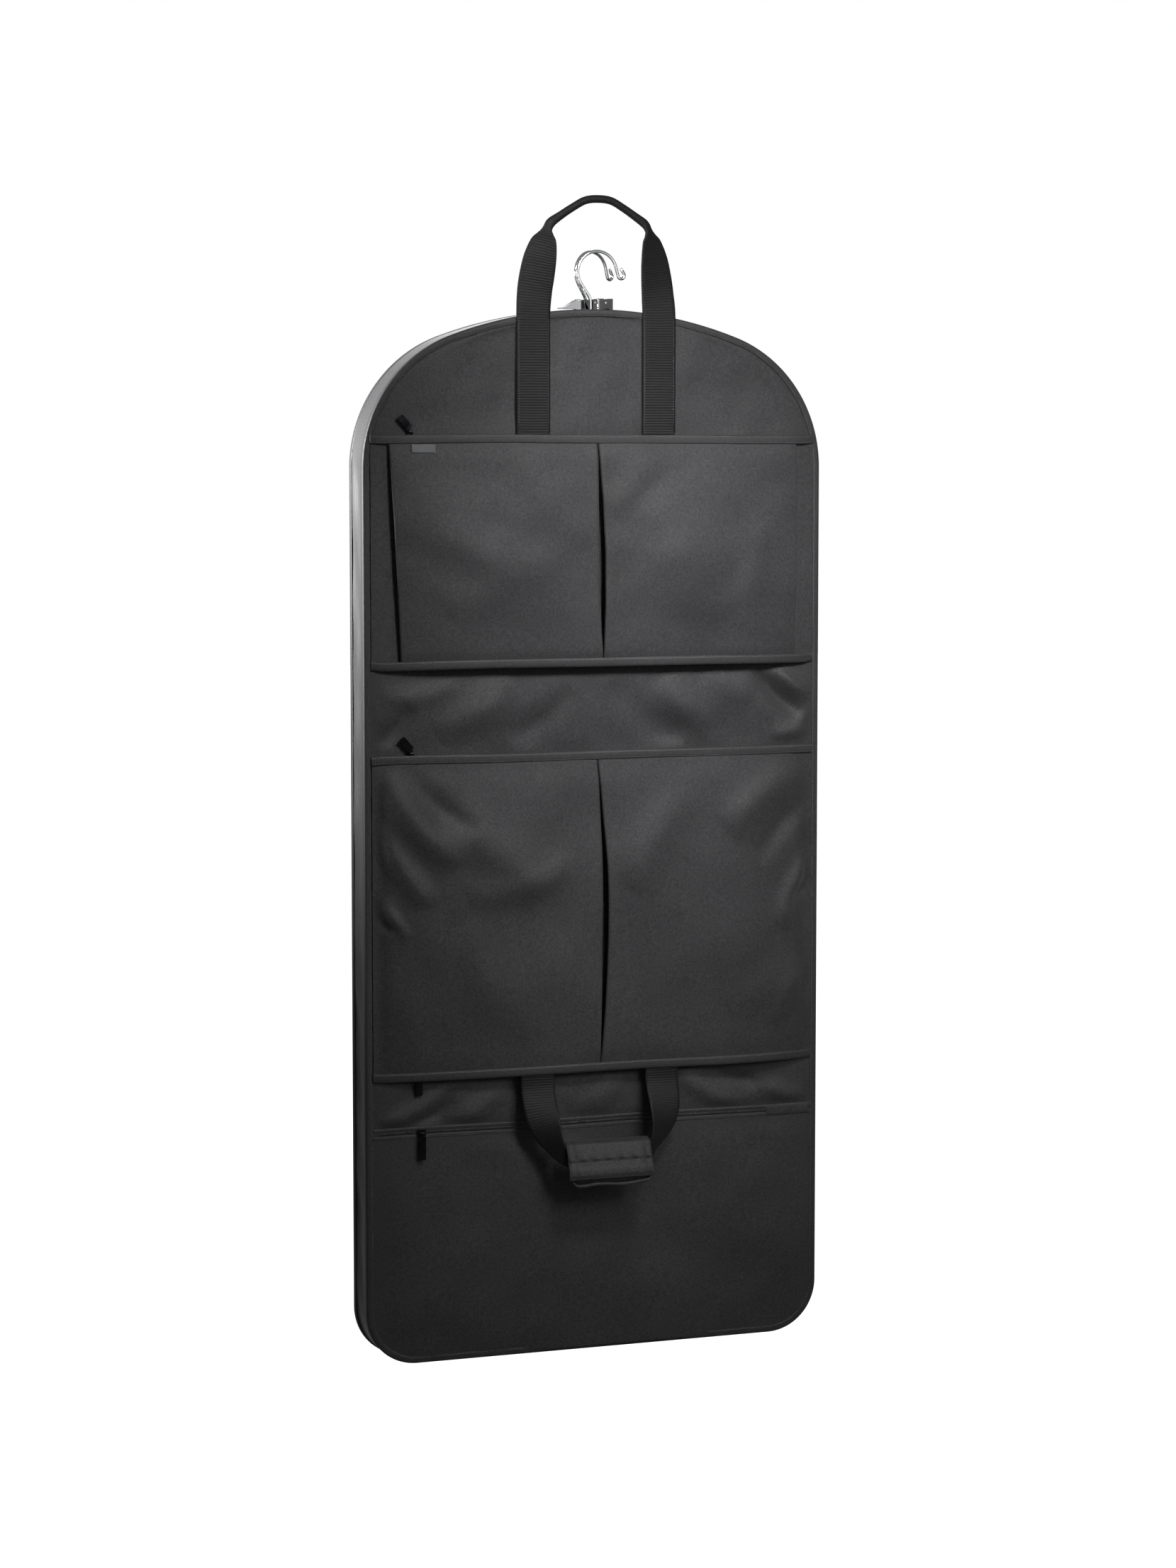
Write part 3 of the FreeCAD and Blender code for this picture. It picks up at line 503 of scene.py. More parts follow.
def join_pieces(name, pieces):
    """Several meshes as one object, each keeping its material."""
    with bpy.context.temp_override(active_object=pieces[0], selected_editable_objects=pieces,
                                   object=pieces[0], selected_objects=pieces):
        bpy.ops.object.join()
    pieces[0].name = name
    return pieces[0]


def smoothstep(value, low, high):
    t = np.clip((np.asarray(value, float) - low) / (high - low), 0.0, 1.0)
    return t * t * (3.0 - 2.0 * t)


def ripple(a, b, seed, size, count=7):
    """Slow uneven waves about `size` metres long over two coordinates, between about -1 and 1."""
    chance = np.random.RandomState(seed)
    total = np.zeros(np.broadcast(a, b).shape)
    for _ in range(count):
        heading = chance.uniform(0, math.pi)
        wave = 2.0 * math.pi / (size * chance.uniform(0.7, 1.6))
        total = total + np.sin((a * math.cos(heading) + b * math.sin(heading)) * wave
                               + chance.uniform(0, 2 * math.pi))
    return total / count * 1.6


def creases(x, z, folds):
    """Sum of soft ridges. Each fold is (x0, z0, x1, z1, half width, height)."""
    total = np.zeros(np.broadcast(x, z).shape)
    for x0, z0, x1, z1, width, height in folds:
        run = np.array([x1 - x0, z1 - z0])
        span = float(np.hypot(*run))
        along = ((x - x0) * run[0] + (z - z0) * run[1]) / span ** 2
        across = ((x - x0) * run[1] - (z - z0) * run[0]) / span
        bow = 0.06 * span * np.sin(np.clip(along, 0, 1) * math.pi)
        taper = np.clip(1.0 - (2.0 * along - 1.0) ** 2, 0.0, 1.0) ** 0.8
        total = total + height * taper * np.exp(-((across - bow) / width) ** 2)
    return total


# ---- the bag's outline ------------------------------------------------------

def outline_arcs(inset):
    """The right half of the outline from apex to hem as centre, radius, start and end angle."""
    s = bpy.context.scene.bag_shell
    crown_z = APEX_Z - s.crown_radius
    shoulder_x = HALF_WIDTH - s.shoulder_radius
    reach = s.crown_radius - s.shoulder_radius
    shoulder_z = crown_z + math.sqrt(reach ** 2 - shoulder_x ** 2)
    turn = math.atan2(shoulder_z - crown_z, shoulder_x)
    corner_x = HALF_WIDTH - s.corner_radius
    corner_z = HEM_Z + s.corner_radius
    return {
        "crown": ((0.0, crown_z), s.crown_radius - inset, math.pi / 2.0, turn),
        "shoulder": ((shoulder_x, shoulder_z), s.shoulder_radius - inset, turn, 0.0),
        "corner": ((corner_x, corner_z), s.corner_radius - inset, 0.0, -math.pi / 2.0),
    }


def half_outline(inset, step=0.006):
    """Points (x, z, outward x, outward z) down the right side, from apex to mid hem."""
    arcs = outline_arcs(inset)
    points = []

    def arc(key):
        (cx, cz), radius, a0, a1 = arcs[key]
        count = max(4, int(abs(a1 - a0) * radius / step))
        for i in range(count):
            a = a0 + (a1 - a0) * i / count
            points.append((cx + radius * math.cos(a), cz + radius * math.sin(a),
                           math.cos(a), math.sin(a)))

    def line(x0, z0, x1, z1, nx, nz):
        count = max(2, int(math.hypot(x1 - x0, z1 - z0) / step))
        for i in range(count):
            t = i / count
            points.append((x0 + (x1 - x0) * t, z0 + (z1 - z0) * t, nx, nz))

    arc("crown")
    arc("shoulder")
    side = HALF_WIDTH - inset
    line(side, arcs["shoulder"][0][1], side, arcs["corner"][0][1], 1.0, 0.0)
    arc("corner")
    line(arcs["corner"][0][0], HEM_Z + inset, 0.0, HEM_Z + inset, 0.0, -1.0)
    points.append((0.0, HEM_Z + inset, 0.0, -1.0))
    return points


def width_at(z, inset):
    """Half the width of the outline at a level, moved in by the inset."""
    arcs = outline_arcs(inset)
    (_, crown_z), crown, _, turn = arcs["crown"]
    (shoulder_x, shoulder_z), shoulder, _, _ = arcs["shoulder"]
    (corner_x, corner_z), corner, _, _ = arcs["corner"]
    z = np.asarray(z, float)
    on_crown = np.sqrt(np.clip(crown ** 2 - (z - crown_z) ** 2, 0.0, None))
    on_shoulder = shoulder_x + np.sqrt(np.clip(shoulder ** 2 - (z - shoulder_z) ** 2, 0.0, None))
    on_corner = corner_x + np.sqrt(np.clip(corner ** 2 - (z - corner_z) ** 2, 0.0, None))
    join_z = crown_z + crown * math.sin(turn)
    width = np.full(z.shape, HALF_WIDTH - inset)
    width = np.where(z > shoulder_z, on_shoulder, width)
    width = np.where(z > join_z, on_crown, width)
    return np.where(z < corner_z, on_corner, width)


def outline_part(inset, upper, step=0.006):
    """The outline above or below the middle split, from the left side round to the right."""
    right = half_outline(inset, step)
    near = [p for p in right if (p[1] >= MIDDLE_SPLIT) == upper]
    cut = (HALF_WIDTH - inset, MIDDLE_SPLIT, 1.0, 0.0)
    near = near + [cut] if upper else [cut] + near
    left = [(-x, z, -nx, nz) for x, z, nx, nz in near]
    if upper:
        return left[::-1] + near[1:]
    return near + left[::-1][1:]


def rows_between(top, low, step):
    """Even levels from top to low."""
    count = max(3, int(round((top - low) / step)))
    return np.linspace(top, low, count + 1)


def arch_rows(low, inset, step):
    """Levels from the apex down, closest together where the arch narrows fast."""
    depth = (APEX_Z - inset) - low
    t = np.linspace(0.0, 1.0, int(depth / step) + 1)
    drop = np.where(t < 0.25, t * t * 3.0, 0.1875 + (t - 0.25) * (1 - 0.1875) / 0.75)
    drop[0] = 0.0004
    return (APEX_Z - inset) - drop * depth


def panel_grid(levels, inset, step, depth, half=None, gap=0.0):
    """A grid over the outline between levels. half is -1 or 1 for one side, with a centre gap."""
    widths = width_at(levels, inset)
    if half is None:
        columns = int(2 * HALF_WIDTH / step)
        share = np.linspace(-1.0, 1.0, columns + 1)
        x = widths[:, None] * share[None, :]
    else:
        columns = int(HALF_WIDTH / step)
        share = np.linspace(0.0, 1.0, columns + 1)
        inner = np.minimum(gap, widths)
        x = half * (inner[:, None] + (widths - inner)[:, None] * share[None, :])
    z = np.repeat(levels[:, None], x.shape[1], axis=1)
    return np.stack([x, depth(x, z), z], axis=2)


def edge_ease(x, z, inset=0.006, reach=0.05):
    """0 at the seam and 1 well inside, so cloth lies flat where it is sewn."""
    return smoothstep(width_at(z, inset) - np.abs(x), 0.0, reach)


# ---- stitches and zip teeth -------------------------------------------------

def group_tree(name, sockets):
    tree = bpy.data.node_groups.get(name)
    if tree:
        return tree, None
    tree = bpy.data.node_groups.new(name, "GeometryNodeTree")
    tree.interface.new_socket("Geometry", in_out="INPUT", socket_type="NodeSocketGeometry")
    for label, default in sockets:
        kind = "NodeSocketMaterial" if default is None else "NodeSocketFloat"
        socket = tree.interface.new_socket(label, in_out="INPUT", socket_type=kind)
        if default is not None:
            socket.default_value = default
    tree.interface.new_socket("Geometry", in_out="OUTPUT", socket_type="NodeSocketGeometry")
    return tree, add_node(tree, "NodeGroupInput")


def beads_tree(name):
    """Small rounded beads at an even pitch along each line: thread stitches or zip teeth."""
    tree, given = group_tree(name, [("Pitch", 0.003), ("Bead Length", 0.002),
                                    ("Bead Depth", 0.0006), ("Bead Width", 0.0006),
                                    ("Material", None)])
    if given is None:
        return tree
    line = add_node(tree, "GeometryNodeMeshToCurve", links={"Mesh": given.outputs["Geometry"]})
    even = add_node(tree, "GeometryNodeResampleCurve", links={"Curve": line.outputs["Curve"],
                    "Length": given.outputs["Pitch"]}, mode="LENGTH")
    bead = add_node(tree, "GeometryNodeMeshUVSphere", {"Segments": 6, "Rings": 4, "Radius": 0.5})
    size = add_node(tree, "ShaderNodeCombineXYZ", links={"X": given.outputs["Bead Length"],
                    "Y": given.outputs["Bead Depth"], "Z": given.outputs["Bead Width"]})
    heading = add_node(tree, "GeometryNodeInputTangent")
    turned = add_node(tree, "FunctionNodeAlignRotationToVector",
                      links={"Vector": heading.outputs["Tangent"]}, axis="X")
    placed = add_node(tree, "GeometryNodeInstanceOnPoints", links={"Points": even.outputs["Curve"],
                      "Instance": bead.outputs["Mesh"], "Rotation": turned.outputs["Rotation"],
                      "Scale": size.outputs["Vector"]})
    real = add_node(tree, "GeometryNodeRealizeInstances",
                    links={"Geometry": placed.outputs["Instances"]})
    finish = add_node(tree, "GeometryNodeSetMaterial", links={"Geometry": real.outputs["Geometry"],
                      "Material": given.outputs["Material"]})
    add_node(tree, "NodeGroupOutput", links={"Geometry": finish.outputs["Geometry"]})
    return tree


def bake_beads(name, paths, values, material, tree_name):
    """Runs the bead tree over open lines of points and returns the plain mesh as a piece."""
    vertices, edges = [], []
    for path in paths:
        first = len(vertices)
        vertices += [tuple(map(float, p)) for p in path]
        edges += [(first + i, first + i + 1) for i in range(len(path) - 1)]
    mesh = bpy.data.meshes.new(name + "_lines")
    mesh.from_pydata(vertices, edges, [])
    host = bpy.data.objects.new(name + "_lines", mesh)
    bpy.context.scene.collection.objects.link(host)
    values = {**values, "Material": material}
    modifier = host.modifiers.new("beads", "NODES")
    modifier.node_group = beads_tree(tree_name)
    for item in modifier.node_group.interface.items_tree:
        if item.item_type == "SOCKET" and item.in_out == "INPUT" and item.name in values:
            modifier[item.identifier] = values[item.name]
    result = evaluated_mesh(host)
    bpy.data.objects.remove(host)
    return finish_mesh(name, result, material, 80.0)


def stitches(name, paths):
    s = bpy.context.scene.bag_sewing
    values = {"Pitch": s.stitch_pitch, "Bead Length": s.stitch_length, "Bead Depth": s.thread_size,
              "Bead Width": s.thread_size}
    return bake_beads(name, paths, values, sewing_thread(), "stitch_rows")


def zip_coil(name, paths):
    s = bpy.context.scene.bag_sewing
    values = {"Pitch": s.coil_pitch, "Bead Length": s.coil_pitch * 0.78,
              "Bead Depth": s.coil_height, "Bead Width": s.coil_width}
    return bake_beads(name, paths, values, coil_nylon(), "zip_coil")


# ---- shell ------------------------------------------------------------------

TOP_BODY, MIDDLE_BODY, BOTTOM_BODY = "top_section", "middle_section", "bottom_section"
CLOTH_INSET = 0.004         # sheets stop this far inside the outline, under the seam tape


def blend_upper(piece):
    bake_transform(piece)


def blend_lower(piece):
    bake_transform(piece)


# Drag lines in the plain band between the pockets, pulled by the weight below.
UPPER_FOLD_CREASES = [
    (0.215, -0.520, 0.285, -0.585, 0.012, -0.0070), (0.245, -0.520, 0.296, -0.560, 0.010, 0.0045),
    (0.150, -0.522, 0.215, -0.560, 0.020, 0.0030), (0.020, -0.535, 0.120, -0.612, 0.022, -0.0040),
    (0.090, -0.530, 0.155, -0.600, 0.018, 0.0032), (-0.285, -0.550, -0.180, -0.535, 0.014, 0.0028),
    (-0.210, -0.600, -0.110, -0.530, 0.020, 0.0036),
    (-0.120, -0.605, -0.030, -0.545, 0.016, -0.0030),
    (-0.290, -0.610, -0.245, -0.560, 0.012, -0.0035),
    (0.240, -0.610, 0.292, -0.596, 0.012, 0.0030),
]
# The band above the bottom zip, creased by the handle that hangs in front of it.
LOWER_FOLD_CREASES = [
    (-0.290, -1.086, -0.200, -1.040, 0.011, 0.0048),
    (-0.255, -1.090, -0.190, -1.055, 0.009, -0.0035),
    (-0.200, -1.088, -0.120, -1.042, 0.014, 0.0035), (0.110, -1.040, 0.200, -1.086, 0.013, 0.0045),
    (0.150, -1.034, 0.250, -1.060, 0.010, -0.0030), (0.215, -1.050, 0.292, -1.085, 0.012, 0.0034),
    (-0.040, -1.080, 0.040, -1.046, 0.016, 0.0025),
]


def top_cloth_depth(x, z):
    ease = edge_ease(x, z, reach=0.06)
    swell = 0.0018 * ripple(x, z, 11, 0.19) + 0.0009 * ripple(x, z, 12, 0.07)
    # The bow inside the arch holds the cloth out in a narrow band below the seam.
    bow = -0.0006 * np.exp(-((width_at(z, 0.006) - np.abs(x) - 0.02) / 0.010) ** 2)
    y = FRONT_Y + 0.0016 + ease * swell + bow
    return np.maximum(y, FRONT_Y - 0.0004)


def upper_fold_depth(x, z):
    mid = (UPPER_HEM_LOW + LOWER_BAND_TOP) / 2.0
    ease = edge_ease(x, z, reach=0.02)
    ends = smoothstep(UPPER_HEM_LOW + 0.006 - z, 0.0, 0.03) * smoothstep(z - LOWER_BAND_TOP + 0.004,
                                                                         0.0, 0.022)
    slack = 0.0035 * np.exp(-((z - mid) / 0.03) ** 2)
    out = 1.5 * creases(x, z, UPPER_FOLD_CREASES) + 0.0016 * ripple(x, z, 21, 0.10) + slack
    return FRONT_Y + 0.0010 - ease * ends * out


def lower_fold_depth(x, z):
    ease = edge_ease(x, z, reach=0.02)
    ends = smoothstep(LOWER_HEM_LOW + 0.008 - z, 0.0, 0.02) * smoothstep(z - BOTTOM_ZIP_TOP, 0.0,
                                                                         0.012)
    out = 1.4 * creases(x, z, LOWER_FOLD_CREASES) + 0.0010 * ripple(x, z, 31, 0.07) + 0.0010
    return FRONT_Y + 0.0008 - ease * ends * out


def bottom_cloth_depth(x, z):
    ease = edge_ease(x, z, reach=0.05) * smoothstep(BOTTOM_ZIP_LOW - z, 0.0, 0.03)
    swell = 0.0020 * ripple(x, z, 41, 0.22) + 0.0008 * ripple(x, z, 42, 0.08)
    pull = creases(x, z, [(-0.26, -1.36, -0.16, -1.22, 0.03, 0.0018),
                          (0.12, -1.20, 0.27, -1.30, 0.035, 0.0020)])
    return FRONT_Y + 0.0006 - ease * (0.0012 + swell + pull)


def middle_cloth_depth(x, z):
    return np.full(x.shape, FRONT_Y + 0.0024)


class GARMENT_OT_front_cloth(bpy.types.Operator):
    """Sheets of cloth on the front: the arch, both plain bands and the bottom panel"""
    bl_idname = "garment.front_cloth"
    bl_label = "Front cloth"

    def execute(self, context):
        s = context.scene.bag_shell
        step, fine, coarse = s.grid_step, s.grid_step * 0.6, 0.012
        inset = CLOTH_INSET
        sheets = (
            ("top_front_cloth", "top_front_panel", TOP_BODY, step, top_cloth_depth,
             arch_rows(UPPER_HEM_LOW, inset, step)),
            ("fold_upper_cloth", "fold_upper_front_panel", blend_upper, fine, upper_fold_depth,
             rows_between(UPPER_HEM_LOW + 0.006, LOWER_BAND_TOP - 0.006, fine)),
            ("middle_front_cloth", "middle_front_panel", MIDDLE_BODY, coarse, middle_cloth_depth,
             rows_between(LOWER_BAND_TOP, LOWER_HEM_LOW, coarse)),
            ("fold_lower_cloth", "fold_lower_front_panel", blend_lower, fine, lower_fold_depth,
             rows_between(LOWER_HEM_LOW + 0.008, BOTTOM_ZIP_TOP - 0.001, fine)),
            ("bottom_front_cloth", "bottom_front_panel", BOTTOM_BODY, step, bottom_cloth_depth,
             rows_between(BOTTOM_ZIP_LOW + 0.001, HEM_Z + inset, step)),
        )
        for name, node, place, spacing, depth, levels in sheets:
            piece = cloth_sheet(name, [panel_grid(levels, inset, spacing, depth)], s.cloth_wall,
                                shell_cloth())
            if callable(place):
                place(piece)
            else:
                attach(piece, place)
            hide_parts(node)
        return {"FINISHED"}


def clamp_hole(points):
    """Quads of the gusset that lie under the clamp are left out."""
    low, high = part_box("clamp_channel")

    def keep(r, c):
        x, y, z = points[r, c]
        x2, y2, _ = points[r + 1, c + 1]
        inside = (low.x + 0.002 < (x + x2) / 2 < high.x - 0.002
                  and low.y + 0.002 < (y + y2) / 2 < high.y - 0.002)
        return not (inside and z > APEX_Z - 0.02)
    return keep


def gusset_grid(upper):
    path = outline_part(0.0014, upper, 0.0055)
    x = np.array([p[0] for p in path])
    z = np.array([p[1] for p in path])
    normal = np.array([[p[2], p[3]] for p in path])
    y = np.linspace(FRONT_Y + 0.002, BACK_Y - 0.002, 17)
    run = np.concatenate([[0.0], np.cumsum(np.hypot(np.diff(x), np.diff(z)))])
    middle = np.cos(np.linspace(-1, 1, len(y)) * math.pi / 2.0) ** 0.8
    # The boxed side sags between its seams: a long shallow hollow with uneven puckers.
    dent = 0.0026 + 0.0016 * ripple(run[:, None], y[None, :] * 2.0, 51 if upper else 52, 0.09)
    dent = dent * middle[None, :]
    if upper:
        taut = smoothstep(z, UPPER_BAND_TOP - 0.050, UPPER_BAND_TOP - 0.005)
        dent = dent * (1.0 - 0.87 * taut)[:, None]
    gx = x[:, None] - normal[:, 0][:, None] * dent
    gz = z[:, None] - normal[:, 1][:, None] * dent
    gy = np.repeat(y[None, :], len(path), axis=0)
    return np.stack([gx, gy, gz], axis=2)


class GARMENT_OT_gussets(bpy.types.Operator):
    """Boxed side cloth that joins front and back all round"""
    bl_idname = "garment.gussets"
    bl_label = "Side gussets"

    def execute(self, context):
        wall = context.scene.bag_shell.cloth_wall
        points = gusset_grid(True)
        upper = cloth_sheet("upper_gusset_cloth", [points], wall, gusset_cloth(),
                            keep=clamp_hole(points))
        blend_upper(upper)
        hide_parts("top_gusset", "fold_upper_gusset", "middle_gusset")
        lower = cloth_sheet("lower_gusset_cloth", [gusset_grid(False)], wall, gusset_cloth())
        blend_lower(lower)
        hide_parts("fold_lower_gusset", "bottom_gusset")
        return {"FINISHED"}


def binding_profile(side):
    """Cross-section of the folded tape as (inset, y): wraps the corner between front and gusset."""
    s = bpy.context.scene.bag_shell
    w, t = s.binding_width, s.binding_wall
    face = FRONT_Y if side < 0 else -BACK_Y
    # Inset is from the widest outline; depth is measured backwards from the front face.
    outer = [(w, -t * 0.35), (w - 0.0006, -t * 0.75), (w * 0.6, -t * 0.95), (0.0030, -t),
             (0.0012, -t * 0.80), (0.0002, -t * 0.1), (-0.0002, 0.0015), (0.0, w * 0.55),
             (0.0001, w - 0.0005), (0.0006, w)]
    inner = [(0.0016, w), (0.0016, 0.0030), (0.0030, 0.0014), (w, 0.0010)]
    return [(inset, face + depth) for inset, depth in outer + inner]


def tape_rings(upper, side):
    """Rings of the seam tape along the outline, with a slight hand-sewn wander."""
    base = outline_part(0.0, upper, 0.005)
    profile = binding_profile(side)
    rings = []
    for i, (x, z, nx, nz) in enumerate(base):
        wander = 0.00025 * math.sin(i * 0.61 + side) + 0.00018 * math.sin(i * 1.73 + 2.0)
        ring = []
        for inset, y in profile:
            shift = inset + (wander if inset > 0.004 else 0.0)
            ring.append((x - nx * shift, y if side < 0 else -y, z - nz * shift))
        rings.append(ring)
    return rings


class GARMENT_OT_bindings(bpy.types.Operator):
    """Folded tape round the front and back seams, with its row of stitches"""
    bl_idname = "garment.bindings"
    bl_label = "Seam tape"

    def execute(self, context):
        s = context.scene.bag_shell
        row = s.binding_width - 0.0014
        for label, upper, place, nodes in (
                ("upper", True, blend_upper, ["top_bindings", "middle_bindings"]),
                ("lower", False, blend_lower, ["bottom_bindings"])):
            parts = [swept(f"{label}_tape_{side}", tape_rings(upper, side), seam_tape()) for side in (-1, 1)]
            tape = join_pieces(f"{label}_seam_tape", parts)
            place(tape)
            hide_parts(*nodes)
            lines = []
            for y in (FRONT_Y - s.binding_wall * 0.85, BACK_Y + s.binding_wall * 0.85):
                lines.append([(p[0], y, p[1]) for p in outline_part(row, upper, 0.005)])
            place(stitches(f"{label}_seam_stitches", lines))
        return {"FINISHED"}


def back_depth(x, z):
    ease = edge_ease(x, z, reach=0.05) * smoothstep(np.abs(x), 0.010, 0.05)
    swell = 0.0016 * ripple(x, z, 61, 0.24) + 0.0008 * ripple(x, z, 62, 0.09)
    sag = creases(x, z, [(-0.20, -0.50, -0.06, -0.62, 0.03, 0.002),
                         (0.06, -0.60, 0.22, -0.50, 0.03, 0.002),
                         (-0.25, -1.10, -0.10, -0.98, 0.03, 0.0018),
                         (0.12, -1.02, 0.26, -1.12, 0.03, 0.0018)])
    return BACK_Y - 0.0006 + ease * (swell + sag)


class GARMENT_OT_back_cloth(bpy.types.Operator):
    """Two back panels either side of the long zip"""
    bl_idname = "garment.back_cloth"
    bl_label = "Back cloth"

    def execute(self, context):
        s = context.scene.bag_shell
        step, wall, inset, gap = s.grid_step * 1.2, s.cloth_wall, CLOTH_INSET, 0.0085
        cloth = shell_cloth()
        for label, levels, place, nodes in (
                ("upper", arch_rows(MIDDLE_SPLIT, inset, step), blend_upper,
                 ["top_back_panels", "fold_upper_back", "middle_back_panels"]),
                ("lower", rows_between(MIDDLE_SPLIT, HEM_Z + inset, step), blend_lower,
                 ["fold_lower_back", "bottom_back_panels"])):
            halves = [panel_grid(levels, inset, step, back_depth, side, gap) for side in (-1, 1)]
            parts = [cloth_sheet(f"{label}_back_{i}", [grid], wall, cloth,
                                 facing=(0, 1, 0)) for i, grid in enumerate(halves)]
            piece = join_pieces(f"{label}_back_cloth", parts)
            place(piece)
            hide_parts(*nodes)
            top = APEX_Z - 0.0045 if label == "upper" else MIDDLE_SPLIT
            low = MIDDLE_SPLIT if label == "upper" else HEM_Z + 0.012
            zips = long_zip(label, top, low)
            place(zips)
            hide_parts(*(["top_main_zip", "middle_main_zip"] if label == "upper"
                                else ["bottom_main_zip"]))
            lines = [[(side * (gap + 0.0035), BACK_Y + 0.0003, z)
                      for z in np.arange(top, low, -0.01)] for side in (-1, 1)]
            place(stitches(f"{label}_back_stitches", lines))
        return {"FINISHED"}


def turn_to(piece, direction):
    """Turns the faces of an open sheet so that most of them look along the direction."""
    mesh = piece.data
    facing = sum(p.normal.dot(direction) * p.area for p in mesh.polygons)
    if facing < 0:
        mesh.flip_normals()


def long_zip(label, top, low):
    """Tape and coil of the zip down the back."""
    base = BACK_Y - 0.0014
    count = max(8, int((top - low) / 0.01))
    rings = []
    for z in np.linspace(top, low, count):
        rings.append([(-0.0120, base, z), (-0.0120, base + 0.0006, z), (-0.0005, base + 0.0008, z),
                      (0.0005, base + 0.0008, z), (0.0120, base + 0.0006, z), (0.0120, base, z)])
    tape = swept(f"{label}_zip_tape", rings, zip_tape_cloth())
    coil = zip_coil(f"{label}_zip_coil", [[(0.0, base + 0.0014, z) for z in
                                           np.linspace(top - 0.002, low + 0.0005, count)]])
    return join_pieces(f"main_zip_{label}", [tape, coil])


# ---- pockets ----------------------------------------------------------------

POCKET_EDGE = 0.2965


class PocketShape:
    """Where one pocket's cloth runs. t is 0 at the band and 1 at the hem."""

    def __init__(self, band_top, hem_low, pleats, belly, hem_out, folds, seed):
        self.top = band_top - 0.004
        self.low = hem_low + 0.005
        self.pleats = pleats
        self.belly = belly
        self.hem_out = hem_out
        self.folds = folds
        self.seed = seed

    def share(self, z):
        return np.clip((self.top - z) / (self.top - self.low), 0.0, 1.0)

    def hem_y(self, x):
        side = np.clip(np.abs(x) / 0.297, 0.0, 1.0)
        return FRONT_Y - 0.0012 - (self.hem_out - 0.0012) * (1.0 - side ** 5)

    def band_y(self, x):
        side = np.clip(np.abs(x) / 0.297, 0.0, 1.0)
        out = 0.0052 if self.pleats else 0.0034
        return FRONT_Y - 0.0022 - out * (1.0 - side ** (16 if self.pleats else 8))

    def face_y(self, x, z):
        t = self.share(z)
        base = self.band_y(x) * (1.0 - t) + self.hem_y(x) * t
        side = np.clip(1.0 - (0.25 if self.pleats else 1.0) * (np.abs(x) / 0.300) ** 6, 0.0, 1.0)
        lobe = np.abs(np.sin(np.clip(np.abs(x) / 0.285, 0, 1) * math.pi)) ** 0.6
        swell = self.belly * np.sin(math.pi * t ** 0.9) * side * (0.55 + 0.45 * lobe)
        ease = np.sin(math.pi * np.clip(t, 0.0, 1.0)) ** 0.5
        wave = 0.0022 * ripple(x, z, self.seed, 0.15) + 0.0009 * ripple(x, z, self.seed + 1, 0.06)
        out = swell + ease * (2.1 * creases(x, z, self.folds) + wave)
        return np.minimum(base - out, FRONT_Y - 0.0022)


# Drag lines of the lower pocket: fans from its upper corners, small puckers at its sides.
LOWER_POCKET_CREASES = [
    (-0.285, -0.640, -0.190, -0.760, 0.020, 0.0065),
    (-0.255, -0.640, -0.160, -0.720, 0.014, -0.0035),
    (-0.292, -0.700, -0.225, -0.810, 0.014, 0.0045),
    (-0.200, -0.690, -0.060, -0.790, 0.030, 0.0045),
    (-0.180, -0.800, -0.030, -0.760, 0.020, 0.0030),
    (-0.292, -0.790, -0.255, -0.850, 0.008, 0.0030),
    (-0.294, -0.815, -0.262, -0.845, 0.006, -0.0024),
    (-0.180, -0.830, -0.100, -0.990, 0.035, 0.0030),
    (0.285, -0.650, 0.170, -0.730, 0.022, 0.0055), (0.294, -0.690, 0.215, -0.770, 0.014, -0.0030),
    (0.294, -0.760, 0.250, -0.860, 0.012, 0.0042), (0.294, -0.800, 0.262, -0.830, 0.007, -0.0026),
    (0.120, -0.670, 0.040, -0.800, 0.026, 0.0030), (0.292, -0.900, 0.240, -0.985, 0.014, 0.0030),
    (0.170, -0.960, 0.270, -0.900, 0.025, 0.0025),
]
UPPER_POCKET_CREASES = [
    (-0.240, -0.300, -0.060, -0.420, 0.035, 0.0024),
    (-0.200, -0.450, -0.120, -0.380, 0.025, 0.0016),
    (0.060, -0.300, 0.180, -0.450, 0.040, 0.0022), (0.230, -0.330, 0.200, -0.480, 0.020, 0.0018),
    (-0.100, -0.250, -0.010, -0.360, 0.022, 0.0018), (0.080, -0.250, 0.020, -0.330, 0.018, 0.0014),
]

UPPER_POCKET = PocketShape(UPPER_BAND_TOP, UPPER_HEM_LOW, True, 0.0078, 0.0165,
                           UPPER_POCKET_CREASES, 71)
LOWER_POCKET = PocketShape(LOWER_BAND_TOP, LOWER_HEM_LOW, False, 0.0120, 0.0170,
                           LOWER_POCKET_CREASES, 81)


def fold_turn(x0, y0, x1, y1, out, count=6):
    """A rounded turn of the cloth from one layer to the next, bulging by `out` along x."""
    points = []
    for i in range(count):
        a = math.pi * (i + 1) / (count + 1)
        s = (1.0 - math.cos(a)) / 2.0
        points.append((x0 + (x1 - x0) * s + out * math.sin(a), y0 + (y1 - y0) * s))
    return points


